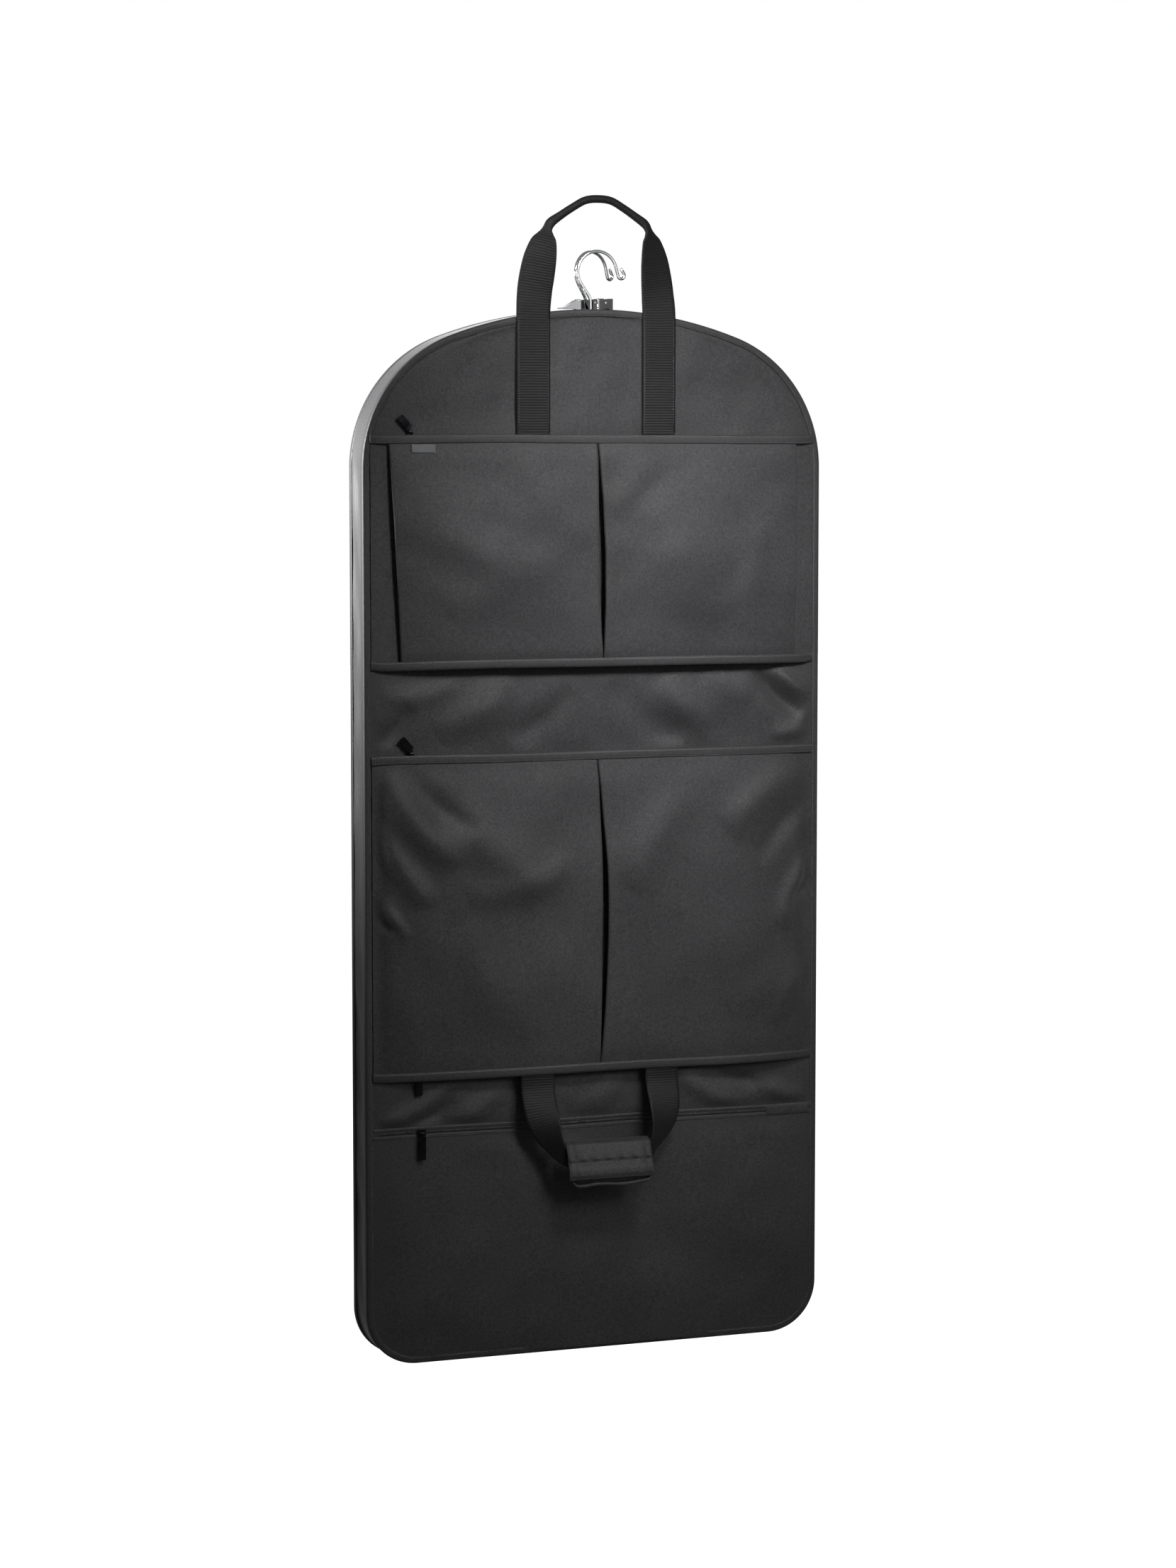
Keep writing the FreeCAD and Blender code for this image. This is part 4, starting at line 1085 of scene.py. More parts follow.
def pocket_row(shape, z, columns):
    """Cross-section of a pocket's single sheet of cloth at one level, from left to right."""
    t = float(shape.share(z))
    base = FRONT_Y - 0.0011
    drift = 0.004 * t if shape.pleats else 0.006 * math.sin(math.pi * t)
    gape = 0.0006 + (0.0042 if shape.pleats else 0.0038) * math.sin(math.pi * t ** 1.15) ** 1.2

    def one_half(side):
        """Points from the outer seam to the centre under-layer, for one half."""
        stop_x = drift + side * (gape + 0.0028)
        if shape.pleats:
            lean = 0.015 * t if side < 0 else 0.006 * math.sin(math.pi * t ** 0.7)
            edge = 0.2745 - lean if side < 0 else 0.2705 + lean * 0.3
            start = edge - 0.0025
        else:
            start = POCKET_EDGE
        xs = np.linspace(side * start, stop_x, columns)
        open_part = float(smoothstep(t, 0.02, 0.10) * smoothstep(1.0 - t, 0.01, 0.06))
        lip = 0.0012 * open_part * np.exp(-np.abs(xs - stop_x) / 0.006)
        ys = shape.face_y(xs, np.full(xs.shape, z)) - lip + 0.0012 * (1.0 - open_part)
        if not shape.pleats:
            rise = smoothstep(POCKET_EDGE - np.abs(xs), 0.0, 0.022)
            ys = base - 0.0004 + (ys - base + 0.0004) * rise
        found = []
        if shape.pleats:
            found += [(side * x, base) for x in np.linspace(POCKET_EDGE, edge - 0.014, 9)]
            inner = edge - 0.015
            found += [(side * (inner - 0.0008), base - 0.0004),
                      (side * (inner - 0.0008), base - 0.0012)]
            under = min(ys[0] + 0.0028, base - 0.0018)
            for s in (0.0, 0.25, 0.5, 0.75, 1.0):
                found.append((side * (inner + 0.0125 * s),
                              base - 0.0016 + (under - base + 0.0016) * s))
            found += fold_turn(side * start, under, side * start, ys[0], side * 0.0022)
        found += list(zip(xs, ys))
        under = ys[-1] + 0.0030
        found += fold_turn(stop_x, ys[-1], stop_x, under, -side * 0.0026)
        reach = 0.015
        for s in (0.0, 0.2, 0.4, 0.6, 0.8, 1.0):
            found.append((stop_x + side * reach * s, under + (base - 0.0016 - under) * s))
        found += [(stop_x + side * (reach + 0.0008), base - 0.0010),
                  (stop_x + side * reach, base - 0.0002)]
        return found, stop_x + side * reach

    left, left_in = one_half(-1)
    right, right_in = one_half(1)
    centre = [(x, base) for x in np.linspace(left_in, right_in, 7)[1:-1]]
    return [(x, y, z) for x, y in left + centre + right[::-1]]


def pocket_cloth(name, shape, step):
    levels = rows_between(shape.top, shape.low, step)
    columns = int(0.27 / step)
    grid = np.array([pocket_row(shape, z, columns) for z in levels])
    return cloth_sheet(name, [grid], 0.0007, shell_cloth(), smooth_angle=75.0)


TAPE_BULGE = 0.0002         # how far the middle of a folded tape stands out
TAPE_REACH = 0.2972         # half the length of the bands and hems that cross the bag


def strip_rings(x0, x1, step, centre, height, wall):
    """Rings of a folded tape that runs across the bag. centre(x) gives (y, z) of its back."""
    rings = []
    for x in np.arange(x0, x1 + step * 0.5, step):
        y, z = centre(x)
        h, w = height / 2.0, wall
        section = [(-h, 0.0), (-h, -w * 0.5), (-h + 0.0006, -w * 0.9), (-h * 0.5, -w * 1.02),
                   (0.0, -w - TAPE_BULGE), (h * 0.5, -w * 1.02), (h - 0.0006, -w * 0.9),
                   (h, -w * 0.5), (h, 0.0)]
        rings.append([(x, y + b, z + a) for a, b in section])
    return rings


class GARMENT_OT_pockets(bpy.types.Operator):
    """Two wide pockets, each one sheet folded into a centre pleat, the upper one also into side pleats, with
    band and hem
    """
    bl_idname = "garment.pockets"
    bl_label = "Pockets"

    def execute(self, context):
        step = context.scene.bag_shell.grid_step * 0.75
        for label, shape, body in (("upper", UPPER_POCKET, TOP_BODY),
                                   ("lower", LOWER_POCKET, MIDDLE_BODY)):
            cloth = pocket_cloth(f"{label}_pocket_cloth", shape, step)
            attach(cloth, body)
            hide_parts(f"{label}_pocket_left", f"{label}_pocket_right")
            tape, thread = pocket_tapes(label, shape)
            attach(tape, body)
            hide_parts(f"{label}_pocket_binding")
            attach(thread, body)
        return {"FINISHED"}


def pocket_tapes(label, shape):
    """Mouth band and hem tape of one pocket and the stitches on them."""
    band_mid = shape.top + 0.004 - BAND_HEIGHT / 2.0
    hem_mid = shape.low - 0.005 + BAND_HEIGHT / 2.0
    seed = shape.seed

    def band(x):
        lift = 0.0012 * float(ripple(np.array(x), np.array(0.0), seed + 5, 0.3))
        return float(shape.band_y(np.array(x))) + 0.0002, band_mid + lift * (abs(x) < 0.29)

    def hem(x):
        lift = 0.0015 * float(ripple(np.array(x), np.array(0.0), seed + 6, 0.35))
        return float(shape.hem_y(np.array(x))) + 0.0002, hem_mid + lift * (abs(x) < 0.29)

    parts = [swept(name, strip_rings(-TAPE_REACH, TAPE_REACH, 0.006, centre, BAND_HEIGHT, wall),
                   seam_tape())
             for name, centre, wall in (("band", band, 0.0015), ("hem", hem, 0.0018))]
    lines = []
    for at, wall, offsets in ((band, 0.0015, (-0.0036, 0.0040)), (hem, 0.0018, (0.0036,))):
        for offset in offsets:
            lines.append([(x, at(x)[0] - wall * 1.02, at(x)[1] + offset)
                          for x in np.arange(-0.296, 0.2961, 0.008)])
    thread = stitches(f"{label}_pocket_stitches", lines)
    return join_pieces(f"{label}_pocket_tapes", parts), thread


class GARMENT_OT_label(bpy.types.Operator):
    """Blank woven label sewn under the upper pocket's band"""
    bl_idname = "garment.label"
    bl_label = "Blank label"

    def execute(self, context):
        low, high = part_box("woven_label")
        levels = np.linspace(high.z, low.z, 9)
        across = np.linspace(low.x, high.x, 21)
        grid = np.zeros((len(levels), len(across), 3))
        for r, z in enumerate(levels):
            for c, x in enumerate(across):
                y = float(UPPER_POCKET.face_y(np.array(x), np.array(z)))
                grid[r, c] = (x, y - 0.0012, z)
        piece = cloth_sheet("blank_woven_label", [grid], 0.0006, label_satin())
        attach(piece, TOP_BODY)
        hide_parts("woven_label")
        return {"FINISHED"}


# ---- webbing ----------------------------------------------------------------

def webbing_section(width, wall, count=12):
    """Points round a flat strap's section as (across, out), with soft selvedges."""
    w, t = width / 2.0, wall / 2.0
    front = [(w * (1 - 2 * i / count), t) for i in range(count + 1)]
    back = [(-w * (1 - 2 * i / count), -t) for i in range(count + 1)]
    front[0], front[-1] = (w - t * 0.4, t * 0.8), (-w + t * 0.4, t * 0.8)
    back[0], back[-1] = (-w + t * 0.4, -t * 0.8), (w - t * 0.4, -t * 0.8)
    return front + [(-w, 0.0)] + back + [(w, 0.0)]


def oval_section(width, depth):
    """The same number of points round an oval, in step with webbing_section."""
    points = []
    for a, b in webbing_section(1.0, 0.2):
        angle = math.atan2(b * 5.0, a) if abs(a) < 0.499 else (0.0 if a > 0 else math.pi)
        points.append((width / 2.0 * math.cos(angle), depth / 2.0 * math.sin(angle)))
    return points


def spline(points, count):
    """A smooth curve through control rows, by Catmull-Rom, at even steps of length."""
    p = np.array(points, float)
    p = np.vstack([2 * p[0] - p[1], p, 2 * p[-1] - p[-2]])
    dense = []
    for i in range(1, len(p) - 2):
        for t in np.linspace(0, 1, 24, endpoint=False):
            a, b, c, d = p[i - 1], p[i], p[i + 1], p[i + 2]
            dense.append(0.5 * (2 * b + (c - a) * t + (2 * a - 5 * b + 4 * c - d) * t * t
                                + (3 * b - a - 3 * c + d) * t ** 3))
    dense.append(p[-2])
    dense = np.array(dense)
    run = np.concatenate([[0], np.cumsum(np.linalg.norm(np.diff(dense[:, :3], axis=0), axis=1))])
    even = np.linspace(0, run[-1], count)
    return np.stack([np.interp(even, run, dense[:, k]) for k in range(p.shape[1])], axis=1), even


def strap(name, controls):
    """Webbing along control rows (x, y, z, width, wall, roundness, twist in degrees)."""
    w = bpy.context.scene.bag_webbing
    rough = np.array(controls, float)
    total = float(np.sum(np.linalg.norm(np.diff(rough[:, :3], axis=0), axis=1)))
    count = int(total / (w.rib_pitch / 4.0))
    rows, even = spline(controls, count)
    rings, uv = [], []
    for i, row in enumerate(rows):
        here = Vector(row[:3])
        ahead = Vector(rows[min(i + 1, count - 1)][:3]) - Vector(rows[max(i - 1, 0)][:3])
        ahead.normalize()
        across = ahead.cross(Vector((0, -1, 0)))
        if across.length < 1e-4:
            across = Vector((1, 0, 0))
        across.normalize()
        across = Matrix.Rotation(math.radians(row[6]), 3, ahead) @ across
        out = across.cross(ahead).normalized()
        rib = 1.0 + (w.rib_height * 2.0 / w.wall) * math.cos(2 * math.pi * even[i] / w.rib_pitch)
        flat = webbing_section(row[3], row[4] * (rib if row[5] < 0.5 else 1.0))
        oval = oval_section(row[3], row[4])
        ring, places = [], []
        for (a, b), (c, d) in zip(flat, oval):
            u, v = a + (c - a) * row[5], b + (d - b) * row[5]
            ring.append(tuple(here + across * u + out * v))
            places.append((u + 0.5, even[i]))
        rings.append(ring)
        uv.append(places)
    return swept(name, rings, handle_webbing(), uv=uv, smooth_angle=65.0)


def top_handle_controls():
    """Control rows of the top handle, from the left anchor over the grip to the right anchor."""
    w = bpy.context.scene.bag_webbing
    y = (STRAP_FRONT + STRAP_BACK) / 2.0
    wide, wall = w.width, w.wall
    grip_h, grip_d = w.grip_height, w.grip_depth
    top = HANDLE_TOP - grip_h / 2.0 - 0.001
    rise = [
        (0.0840, y, STRAP_LOW + 0.001, wide, wall, 0.0, 0.0),
        (0.0840, y, -0.1500, wide, wall, 0.0, 0.0),
        (0.0840, y, -0.0800, wide, wall, 0.0, 0.0),
        (0.0822, y + 0.0005, -0.0500, wide, wall, 0.0, -5.0),
        (0.0797, y - 0.0010, -0.0300, wide - 0.0005, wall, 0.0, -10.0),
        (0.0766, y - 0.0030, -0.0100, wide - 0.0030, wall, 0.0, -15.0),
        (0.0733, y - 0.0045, 0.0060, wide - 0.0085, wall, 0.0, -20.0),
        (0.0706, y - 0.0055, 0.0165, wide - 0.0155, wall * 1.4, 0.0, -24.0),
        (0.0690, y - 0.0060, 0.0235, 0.0190, wall * 2.2, 0.2, -28.0),
        (0.0672, y - 0.0060, 0.0290, 0.0125, grip_d * 0.75, 0.6, -26.0),
        (0.0625, y - 0.0060, top - 0.0300, grip_h + 0.0024, grip_d * 0.95, 0.9, -12.0),
        (0.0500, y - 0.0060, top - 0.0212, grip_h + 0.0006, grip_d, 1.0, 0.0),
        (0.0330, y - 0.0060, top - 0.0104, grip_h, grip_d, 1.0, 0.0),
        (0.0170, y - 0.0060, top - 0.0020, grip_h, grip_d, 1.0, 0.0),
    ]
    left = [(-r[0], *r[1:]) for r in rise]
    return left + [(0.0, y - 0.0060, top, grip_h, grip_d, 1.0, 0.0)] + rise[::-1]


class GARMENT_OT_top_handle(bpy.types.Operator):
    """Top handle: one length of webbing sewn down the front and rolled into a grip"""
    bl_idname = "garment.top_handle"
    bl_label = "Top handle"

    def execute(self, context):
        piece = strap("top_handle_webbing", top_handle_controls())
        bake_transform(piece)
        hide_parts("strap_anchors", "top_handle")
        lines = []
        for side in (-1, 1):
            for offset in (-0.0195, 0.0195):
                lines.append([(side * 0.084 + offset, STRAP_FRONT - 0.0003, z)
                              for z in np.arange(-0.084, STRAP_LOW + 0.010, -0.006)])
        thread = stitches("top_handle_stitches", lines)
        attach(thread, TOP_BODY)
        return {"FINISHED"}


HANDLE_LEAN = math.radians(17.0)    # the lower handle hangs this far out from the bag
GRIP_DROP = 0.112                   # from the lower handle's pivot to the middle of its wrap


def tilted(x, out, down):
    """A point of the lower handle: metres across, out from its plane, and down from its pivot."""
    pivot = JOINTS["bottom_handle_swing"]["pos_m"]
    c, s = math.cos(HANDLE_LEAN), math.sin(HANDLE_LEAN)
    return (x, pivot[1] - out * c - down * s, pivot[2] + out * s - down * c)


def lower_strap(side):
    """Control rows of one strap of the lower handle, from under the hem to the grip's core."""
    w = bpy.context.scene.bag_webbing
    wide, wall = w.width, w.wall
    plan = [
        (0.0840, 0.004, -0.004, wide, wall, 0.0, 0.0),
        (0.0840, 0.000, 0.015, wide, wall, 0.0, 2.0),
        (0.0838, 0.002, 0.040, wide - 0.001, wall, 0.0, 5.0),
        (0.0806, 0.003, 0.060, wide - 0.004, wall, 0.0, 14.0),
        (0.0742, 0.001, 0.078, wide - 0.012, wall * 1.1, 0.0, 26.0),
        (0.0655, -0.002, 0.093, wide - 0.021, wall * 1.4, 0.1, 34.0),
        (0.0555, -0.003, 0.104, 0.0180, wall * 2.2, 0.3, 14.0),
        (0.0440, -0.001, 0.110, 0.0170, wall * 2.6, 0.4, 0.0),
        (0.0300, -0.001, 0.112, 0.0170, wall * 2.6, 0.4, 0.0),
    ]
    rows = []
    for x, out, down, *rest in plan:
        rows.append((*tilted(side * x, out, down), *rest[:3], -side * rest[3]))
    return rows


class GARMENT_OT_bottom_handle(bpy.types.Operator):
    """Lower handle: two straps that turn in behind a padded wrap"""
    bl_idname = "garment.bottom_handle"
    bl_label = "Lower handle"

    def execute(self, context):
        parts = [strap(f"lower_strap_{side}", lower_strap(side)) for side in (-1, 1)]
        piece = join_pieces("bottom_handle_webbing", parts)
        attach(piece, "bottom_handle")
        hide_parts("bottom_handle")
        return {"FINISHED"}


def rounded_block(half_x, half_z, half_y, bulge, columns=34, rows=20):
    """Rings along x of a soft flattened tube: (x, out, down) about its own middle."""
    rings = []
    for i in range(columns + 1):
        u = -1.0 + 2.0 * i / columns
        end = max(0.0, 1.0 - abs(u) ** 10)
        ring = []
        for k in range(rows * 2):
            a = math.pi * k / rows
            c, s = math.cos(a), math.sin(a)
            z = half_z * math.copysign(abs(c) ** 0.55, c)
            y = (half_y + bulge * (1.0 - u * u)) * math.copysign(abs(s) ** 0.6, s)
            shrink = 0.80 + 0.20 * end ** 0.5
            ring.append((half_x * u, y * shrink, z * (0.96 + 0.04 * end ** 0.5)))
        rings.append(ring)
    return rings


def inflate(piece, pressure, limit, voxel=0.004, frames=20):
    """Swells a closed cloth shape by a short simulation and keeps the result."""
    scene = bpy.context.scene
    remesh = piece.modifiers.new("even_cells", "REMESH")
    remesh.mode = "VOXEL"
    remesh.voxel_size = voxel
    even = evaluated_mesh(piece)
    piece.modifiers.clear()
    material = piece.data.materials[0]
    piece.data = even
    even.materials.clear()
    even.materials.append(material)
    rest = np.zeros(len(even.vertices) * 3)
    even.vertices.foreach_get("co", rest)
    cloth = piece.modifiers.new("swell", "CLOTH")
    cloth.settings.quality = 6
    cloth.settings.mass = 0.15
    cloth.settings.tension_stiffness = 12.0
    cloth.settings.compression_stiffness = 12.0
    cloth.settings.bending_stiffness = 0.4
    cloth.settings.use_pressure = True
    cloth.settings.uniform_pressure_force = pressure
    cloth.settings.effector_weights.gravity = 0.0
    cloth.settings.shrink_min = -0.03
    for number in range(1, frames + 1):
        scene.frame_set(number)
    graph = bpy.context.evaluated_depsgraph_get()
    swollen = piece.evaluated_get(graph).to_mesh()
    moved = np.zeros(len(swollen.vertices) * 3)
    swollen.vertices.foreach_get("co", moved)
    piece.evaluated_get(graph).to_mesh_clear()
    step = (moved - rest).reshape(-1, 3)
    size = np.linalg.norm(step, axis=1, keepdims=True)
    step *= np.minimum(1.0, limit / np.maximum(size, 1e-9))
    piece.modifiers.clear()
    even.vertices.foreach_set("co", (rest.reshape(-1, 3) + step).ravel())
    scene.frame_set(1)
    even.polygons.foreach_set("use_smooth", [True] * len(even.polygons))
    finer = piece.modifiers.new("finer", "SUBSURF")
    finer.levels = finer.render_levels = 1
    return piece


class GARMENT_OT_grip(bpy.types.Operator):
    """Padded wrap of the lower handle and the flap that closes it"""
    bl_idname = "garment.grip"
    bl_label = "Grip wrap"

    def execute(self, context):
        middle = GRIP_DROP
        rings = [[tilted(x, out, middle + 0.0030 + down) for x, out, down in ring]
                 for ring in rounded_block(0.0525, 0.0240, 0.0056, 0.0014)]
        pad = swept("grip_pad_cloth", rings, shell_cloth())
        inflate(pad, 4.0, 0.004)
        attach(pad, "bottom_handle")
        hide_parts("grip_pad")
        lip = self.lip(middle)
        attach(lip, "bottom_handle")
        flap = self.flap(middle)
        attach(flap, "grip_flap")
        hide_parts("grip_flap")
        return {"FINISHED"}

    def lip(self, middle):
        """The rounded lower edge of the wrap, which shows as a thin roll below the flap."""
        rings = []
        for i in range(61):
            u = -1.0 + i / 30.0
            x = 0.0530 * math.sin(math.pi / 2.0 * max(-1.0, min(1.0, u * 1.12)))
            drop = 0.0285 * (1.0 - abs(u) ** 7) + 0.0010 * math.sin(9.0 * u)
            r = 0.0022
            rings.append([tilted(x + (0.0 if abs(u) < 0.85 else math.copysign(r, u)
                                      * math.cos(2 * math.pi * k / 10) * 0.6),
                                 0.0030 + 1.6 * r * math.sin(2 * math.pi * k / 10),
                                 middle + drop + r * math.cos(2 * math.pi * k / 10))
                          for k in range(10)])
        return swept("grip_lower_roll", rings, shell_cloth())

    def flap(self, middle):
        """The flap lies over the front of the pad: a thin pad of its own with a rolled edge."""
        rows, columns = 30, 44
        front = np.zeros((rows + 1, columns + 1, 3))
        for r in range(rows + 1):
            v = r / rows
            down = middle - 0.0300 + 0.0520 * v
            for c in range(columns + 1):
                u = -1.0 + 2.0 * c / columns
                x = 0.0575 * u * (1.0 - 0.015 * math.sin(math.pi * v))
                arch = 0.0100 + 0.0022 * math.sin(math.pi * min(1.0, v * 1.05))
                seam = -0.0017 * math.exp(-((v - 0.58) / 0.022) ** 2)
                band = -0.0014 * math.exp(-((abs(u) - 0.87) / 0.022) ** 2)
                curl = -0.0125 * max(0.0, 1.0 - v / 0.16) ** 2
                lower = 0.0034 * smoothstep(v, 0.60, 0.80) * (1.0 - 0.9 * smoothstep(v, 0.90, 1.0))
                pucker = 0.0009 * math.sin(c * 0.9 + 0.6 * math.sin(r)) * math.exp(
                    -((v - 0.55) / 0.12) ** 2)
                side = -0.0034 * abs(u) ** 8
                out = arch + seam + band + curl + float(lower) + pucker + side
                front[r, c] = tilted(x, out, down)
        piece = cloth_sheet("grip_flap_cloth", [front], 0.0030, shell_cloth(),
                            facing=(0, -1, 0))
        rim = piece.modifiers.new("soft_rim", "BEVEL")
        rim.width = 0.0009
        rim.segments = 3
        rim.limit_method = "ANGLE"
        rim.angle_limit = math.radians(50)
        return piece


# ---- hard pieces from the frame ---------------------------------------------

def merged_copy(node, flat=True):
    """A copy of a CAD node's mesh with its loose triangles joined."""
    mesh = frame["nodes"][node].data.copy()
    work = bmesh.new()
    work.from_mesh(mesh)
    bmesh.ops.remove_doubles(work, verts=work.verts, dist=1e-6)
    if flat:
        bmesh.ops.dissolve_limit(work, angle_limit=math.radians(1.0), verts=work.verts,
                                 edges=work.edges)
    work.to_mesh(mesh)
    work.free()
    mesh.name = node + "_shape"
    return mesh


def finished_node(name, node, material, body, edge, rounded=False):
    """A CAD node with its edges rounded as the made part's are."""
    piece = finish_mesh(name, merged_copy(node, not rounded), material, 35.0)
    if rounded:
        finer = piece.modifiers.new("rounder", "SUBSURF")
        finer.levels = finer.render_levels = 1
    if edge:
        soften = piece.modifiers.new("rounded_edges", "BEVEL")
        soften.width = edge
        soften.segments = 3
        soften.limit_method = "ANGLE"
        soften.angle_limit = math.radians(35.0)
    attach(piece, body)
    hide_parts(node)
    return piece


class GARMENT_OT_zips(bpy.types.Operator):
    """Bottom zip, the tucked pocket zips, and every slider and pull"""
    bl_idname = "garment.zips"
    bl_label = "Zips"

    def execute(self, context):
        self.bottom_zip()
        for node in ("upper_pocket_zip", "lower_pocket_zip", "hem_zip"):
            dress(node, zip_tape_cloth())
        for key in ("upper_pocket", "lower_pocket", "hem", "bottom", "main"):
            for part in ("slider", "pull"):
                node = f"{key}_{part}"
                finished_node(f"{key}_zip_{part}", node, dark_zinc(), node, 0.0003)
        return {"FINISHED"}

    def bottom_zip(self):
        low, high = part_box("bottom_zip")
        mid = (low.z + high.z) / 2.0
        base, x0, x1 = FRONT_Y, low.x, high.x
        coil_end = 0.235

        def sag(x):
            return 0.0006 * math.sin(x * 19.0)

        def centre(out, offset=0.0):
            return lambda x: (base - out, mid + offset + sag(x))

        half = BAND_HEIGHT / 2.0 + 0.001
        section = ((0.0004, -half), (-0.0004, -half), (-0.0007, -half * 0.5),
                   (-0.0007, half * 0.5), (-0.0004, half), (0.0004, half))
        rings = [[(x, base + y, mid + z + sag(x)) for y, z in section]
                 for x in np.linspace(x0, x1, 90)]
        tape = swept("bottom_zip_tape", rings, zip_tape_cloth())
        line = [(x, base - 0.0011, mid + sag(x)) for x in np.linspace(x0 + 0.008, coil_end, 120)]
        coil = zip_coil("bottom_zip_coil", [line])
        strips = [strip_rings(x0, x1, 0.007, centre(0.0004, offset), 0.0044, 0.0010)
                  for offset in (0.0048, -0.0048)]
        strips.append(strip_rings(coil_end, x1 - 0.001, 0.006, centre(0.0012),
                                  BAND_HEIGHT + 0.002, 0.0009))
        lips = [swept("lip", rings, shell_cloth()) for rings in strips]
        piece = join_pieces("bottom_zip_closed", [tape, coil] + lips)
        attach(piece, BOTTOM_BODY)
        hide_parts("bottom_zip")
        lines = [[(x, base - 0.0015, mid + offset + sag(x))
                  for x in np.arange(x0 + 0.004, x1, 0.008)] for offset in (0.0060, -0.0060)]
        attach(stitches("bottom_zip_stitches", lines), BOTTOM_BODY)


def dress(node, material):
    """A CAD node that keeps its shape gets its real material."""
    piece = frame["nodes"][node]
    piece.data.materials.clear()
    piece.data.materials.append(material)


class GARMENT_OT_hanging_gear(bpy.types.Operator):
    """Hooks, clamp, hangers, and the hidden frame and lining"""
    bl_idname = "garment.hanging_gear"
    bl_label = "Hanging gear"

    def execute(self, context):
        for key in ("front", "rear"):
            finished_node(f"hook_{key}_wire", f"hook_{key}", chrome(),
                          f"hook_{key}", 0.0, rounded=True)
            dress(f"hanger_{key}", hanger_beech())
        for name, node, material, slot, body, edge in (
                ("clamp_channel_sheet", "clamp_channel", chrome(), "bright_chrome", TOP_BODY,
                 0.0003),
                ("clamp_lever_sheet", "clamp_lever", chrome(), "bright_chrome", "clamp_lever",
                 0.0003),
                ("clamp_jaw_block", "clamp_jaw", black_abs(), "block_plastic", "clamp_jaw", 0.0005),
                ("clamp_end_moulding", "clamp_end_block", black_abs(), "block_plastic", TOP_BODY,
                 0.0005),
                ("clamp_rubber_pad", "clamp_pad", pad_rubber(), "pad_rubber", TOP_BODY, 0.0003),
                ("clamp_rivets", "clamp_pins", chrome(), "bright_chrome", TOP_BODY, 0.0002)):
            finished_node(name, node, material, body, edge)
        dress("shoulder_frame", spring_steel())
        dress("bottom_lining", lining_cloth())
        return {"FINISHED"}


# ---- stage ------------------------------------------------------------------

# Name, place, target, size of the square, watts and spread in degrees.
LIGHTS = (
    ("key", (0.08, -1.05, 0.22), (0.13, 0.0, -0.53), 0.30, 5.9, 58.0),
    ("side", (-1.7, 0.55, -0.12), (-0.3, 0.0, -0.24), 0.5, 15.0, 40.0),
    ("handle", (-0.5, -1.4, 0.5), (0.0, 0.0, 0.05), 0.3, 0.9, 20.0),
    ("low", (0.30, -0.90, -0.62), (0.02, 0.0, -1.22), 0.25, 1.0, 70.0),
    ("fill", (1.9, -2.3, 0.1), (0.0, 0.0, -0.7), 1.2, 12.0, 180.0),
)
CAMERA_TURN = math.radians(20.6)    # round the bag from straight in front
CAMERA_DIP = math.radians(5.2)      # how far the camera looks down
CAMERA_DISTANCE = 4.85
CAMERA_Z = -0.226
FLOOR_REACH = 30.0
FLOOR_Z = HEM_Z - 1.0


def soft_light(name, place, target, size, power, spread):
    data = bpy.data.lights.new(name, "AREA")
    data.shape = "RECTANGLE"
    data.size = data.size_y = size
    data.energy = power
    data.spread = math.radians(spread)
    lamp = bpy.data.objects.new(name, data)
    lamp.location = place
    aim = Vector(target) - Vector(place)
    lamp.rotation_mode = "QUATERNION"
    lamp.rotation_quaternion = aim.to_track_quat("-Z", "Y")
    bpy.context.scene.collection.objects.link(lamp)


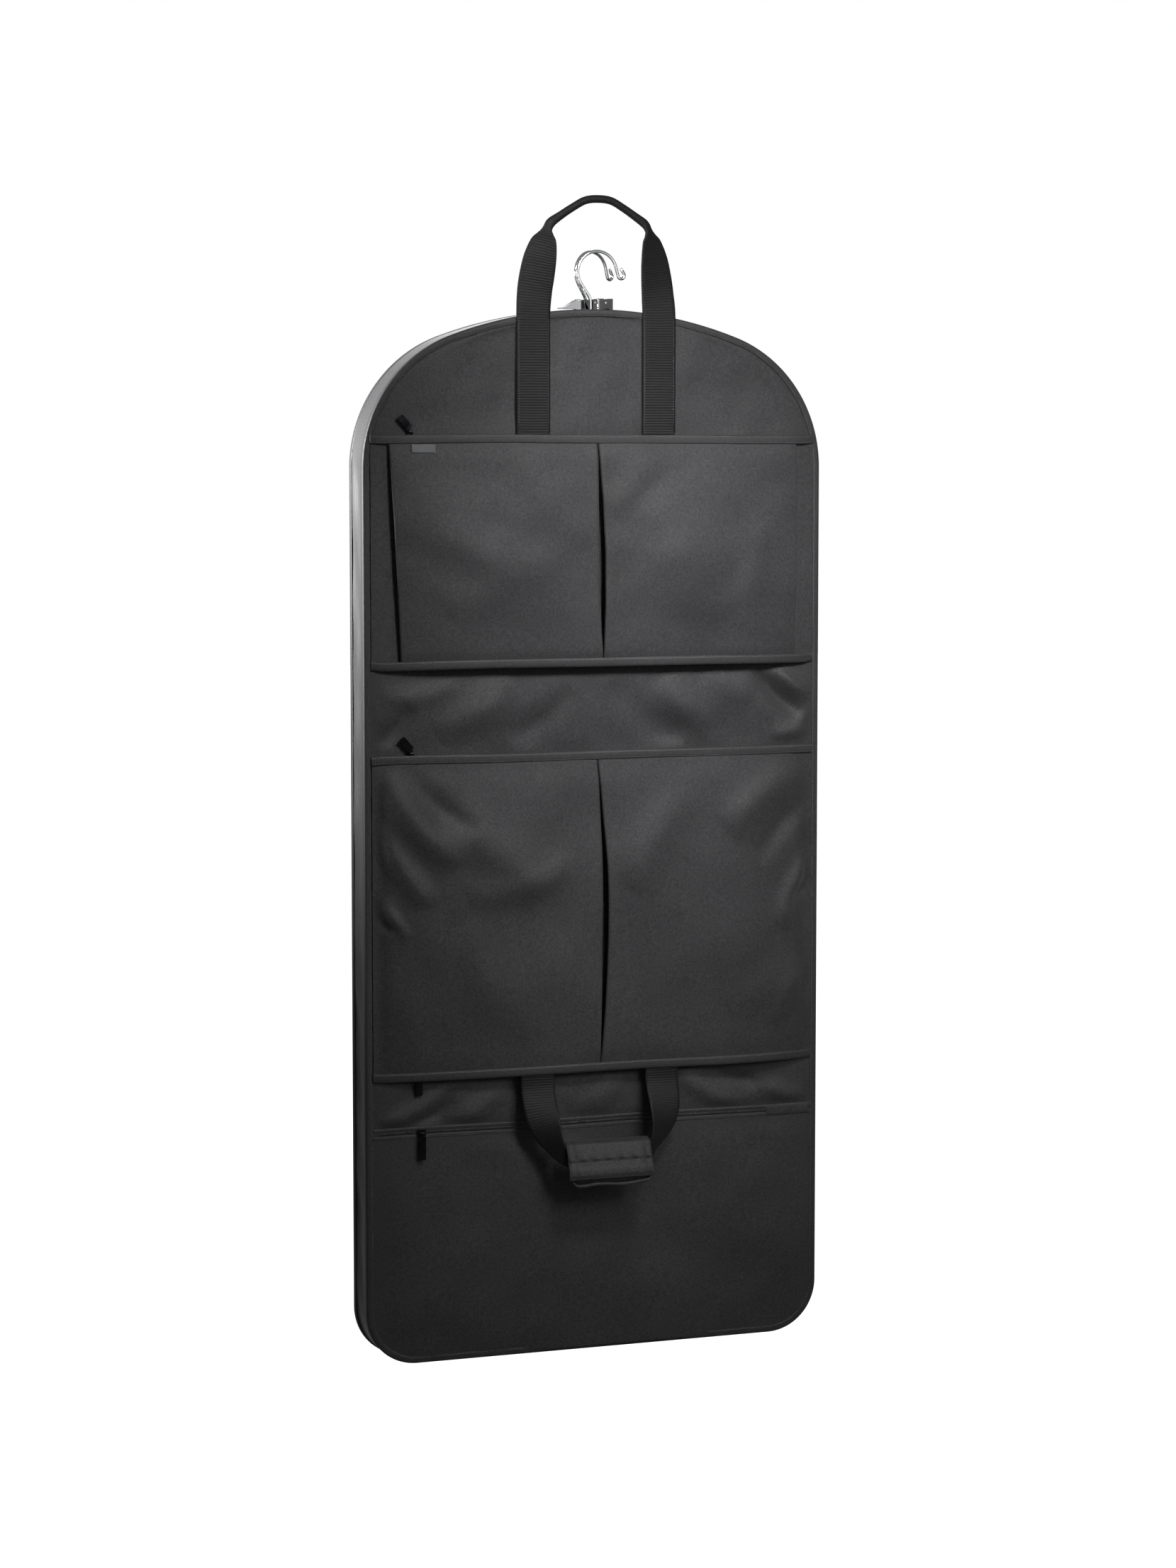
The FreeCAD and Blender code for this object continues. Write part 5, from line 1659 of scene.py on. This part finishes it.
class GARMENT_OT_stage(bpy.types.Operator):
    """Pale floor, soft studio light and the camera"""
    bl_idname = "garment.stage"
    bl_label = "Stage"

    def execute(self, context):
        scene = context.scene
        mesh = bpy.data.meshes.new("floor")
        corners = ((-1, -1), (1, -1), (1, 1), (-1, 1))
        mesh.from_pydata([(x * FLOOR_REACH, y * FLOOR_REACH, FLOOR_Z) for x, y in corners], [],
                         [(0, 1, 2, 3)])
        floor = bpy.data.objects.new("floor", mesh)
        scene.collection.objects.link(floor)
        paint, tree, shader = new_material("matt_white_paint")
        shader.inputs["Base Color"].default_value = linear("#fafafa")
        shader.inputs["Roughness"].default_value = 0.9
        shader.inputs["Emission Color"].default_value = (1.0, 1.0, 1.0, 1.0)
        shader.inputs["Emission Strength"].default_value = 0.96
        mesh.materials.append(paint)
        floor.visible_diffuse = floor.visible_glossy = False
        world = scene.world or bpy.data.worlds.new("studio")
        scene.world = world
        world.use_nodes = True
        # A white room to the eye. Cloth is lit by a card behind the bag and a dim room.
        # Polished wire sees a bright room with a dark side, which gives it its black outlines.
        tree = world.node_tree
        sky = tree.nodes.get("Background")
        turn = CAMERA_TURN
        path = add_node(tree, "ShaderNodeLightPath").outputs
        way = add_node(tree, "ShaderNodeTexCoord").outputs["Generated"]
        facing = add_node(tree, "ShaderNodeVectorMath", {1: (math.sin(turn), math.cos(turn), 0.0)},
                          {0: way}, operation="DOT_PRODUCT").outputs["Value"]
        card = add_node(tree, "ShaderNodeMapRange", {"From Min": 0.93, "From Max": 0.985,
                        "To Min": 0.27, "To Max": 1.0}, {"Value": facing},
                        interpolation_type="SMOOTHSTEP").outputs["Result"]
        room = add_node(tree, "ShaderNodeMapRange", {"From Min": -0.95, "From Max": -0.50,
                        "To Min": 1.0, "To Max": 0.03}, {"Value": facing},
                        interpolation_type="SMOOTHSTEP").outputs["Result"]
        polished = add_node(tree, "ShaderNodeMath", {}, {0: room, 1: path["Is Singular Ray"]},
                            operation="MULTIPLY").outputs[0]
        seen = add_node(tree, "ShaderNodeMath", {}, {0: polished, 1: path["Is Camera Ray"]},
                        operation="MAXIMUM").outputs[0]
        glow = add_node(tree, "ShaderNodeMath", {}, {0: card, 1: seen},
                        operation="MAXIMUM").outputs[0]
        tree.links.new(glow, sky.inputs["Strength"])
        sky.inputs["Color"].default_value = (1.0, 1.0, 1.0, 1.0)
        scene.view_settings.view_transform = "Standard"
        for light in LIGHTS:
            soft_light(*light)
        data = bpy.data.cameras.new("camera")
        data.lens = 88.0
        data.clip_end = 60.0
        camera = bpy.data.objects.new("camera", data)
        camera.location = (-CAMERA_DISTANCE * math.sin(turn), -CAMERA_DISTANCE * math.cos(turn),
                           CAMERA_Z)
        aim = Vector((math.sin(turn) * math.cos(CAMERA_DIP), math.cos(turn) * math.cos(CAMERA_DIP),
                      -math.sin(CAMERA_DIP)))
        camera.rotation_mode = "QUATERNION"
        camera.rotation_quaternion = aim.to_track_quat("-Z", "Y")
        scene.collection.objects.link(camera)
        scene.camera = camera
        return {"FINISHED"}


class GARMENT_PT_panel(bpy.types.Panel):
    """Lists the steps that build the bag and the sizes they use"""
    bl_idname = "GARMENT_PT_panel"
    bl_label = "Garment bag"
    bl_space_type = "VIEW_3D"
    bl_region_type = "UI"
    bl_category = "Garment bag"

    def draw(self, context):
        for key, group in SETTINGS.items():
            box = self.layout.box()
            for name in group.__annotations__:
                box.prop(getattr(context.scene, key), name)
        for step in STEPS:
            self.layout.operator(step.bl_idname)


STEPS = [
    GARMENT_OT_front_cloth,
    GARMENT_OT_gussets,
    GARMENT_OT_bindings,
    GARMENT_OT_back_cloth,
    GARMENT_OT_pockets,
    GARMENT_OT_label,
    GARMENT_OT_top_handle,
    GARMENT_OT_bottom_handle,
    GARMENT_OT_grip,
    GARMENT_OT_zips,
    GARMENT_OT_hanging_gear,
    GARMENT_OT_stage,
]


def register():
    for group in SETTINGS.values():
        bpy.utils.register_class(group)
    for step in STEPS:
        bpy.utils.register_class(step)
    bpy.utils.register_class(GARMENT_PT_panel)
    for key, group in SETTINGS.items():
        setattr(bpy.types.Scene, key, PointerProperty(type=group))


def unregister():
    for key in SETTINGS:
        delattr(bpy.types.Scene, key)
    bpy.utils.unregister_class(GARMENT_PT_panel)
    for step in reversed(STEPS):
        bpy.utils.unregister_class(step)
    for group in SETTINGS.values():
        bpy.utils.unregister_class(group)


def main():
    register()
    for step in STEPS:
        area, action = step.bl_idname.split(".")
        getattr(getattr(bpy.ops, area), action)()


if __name__ == "__main__":
    main()
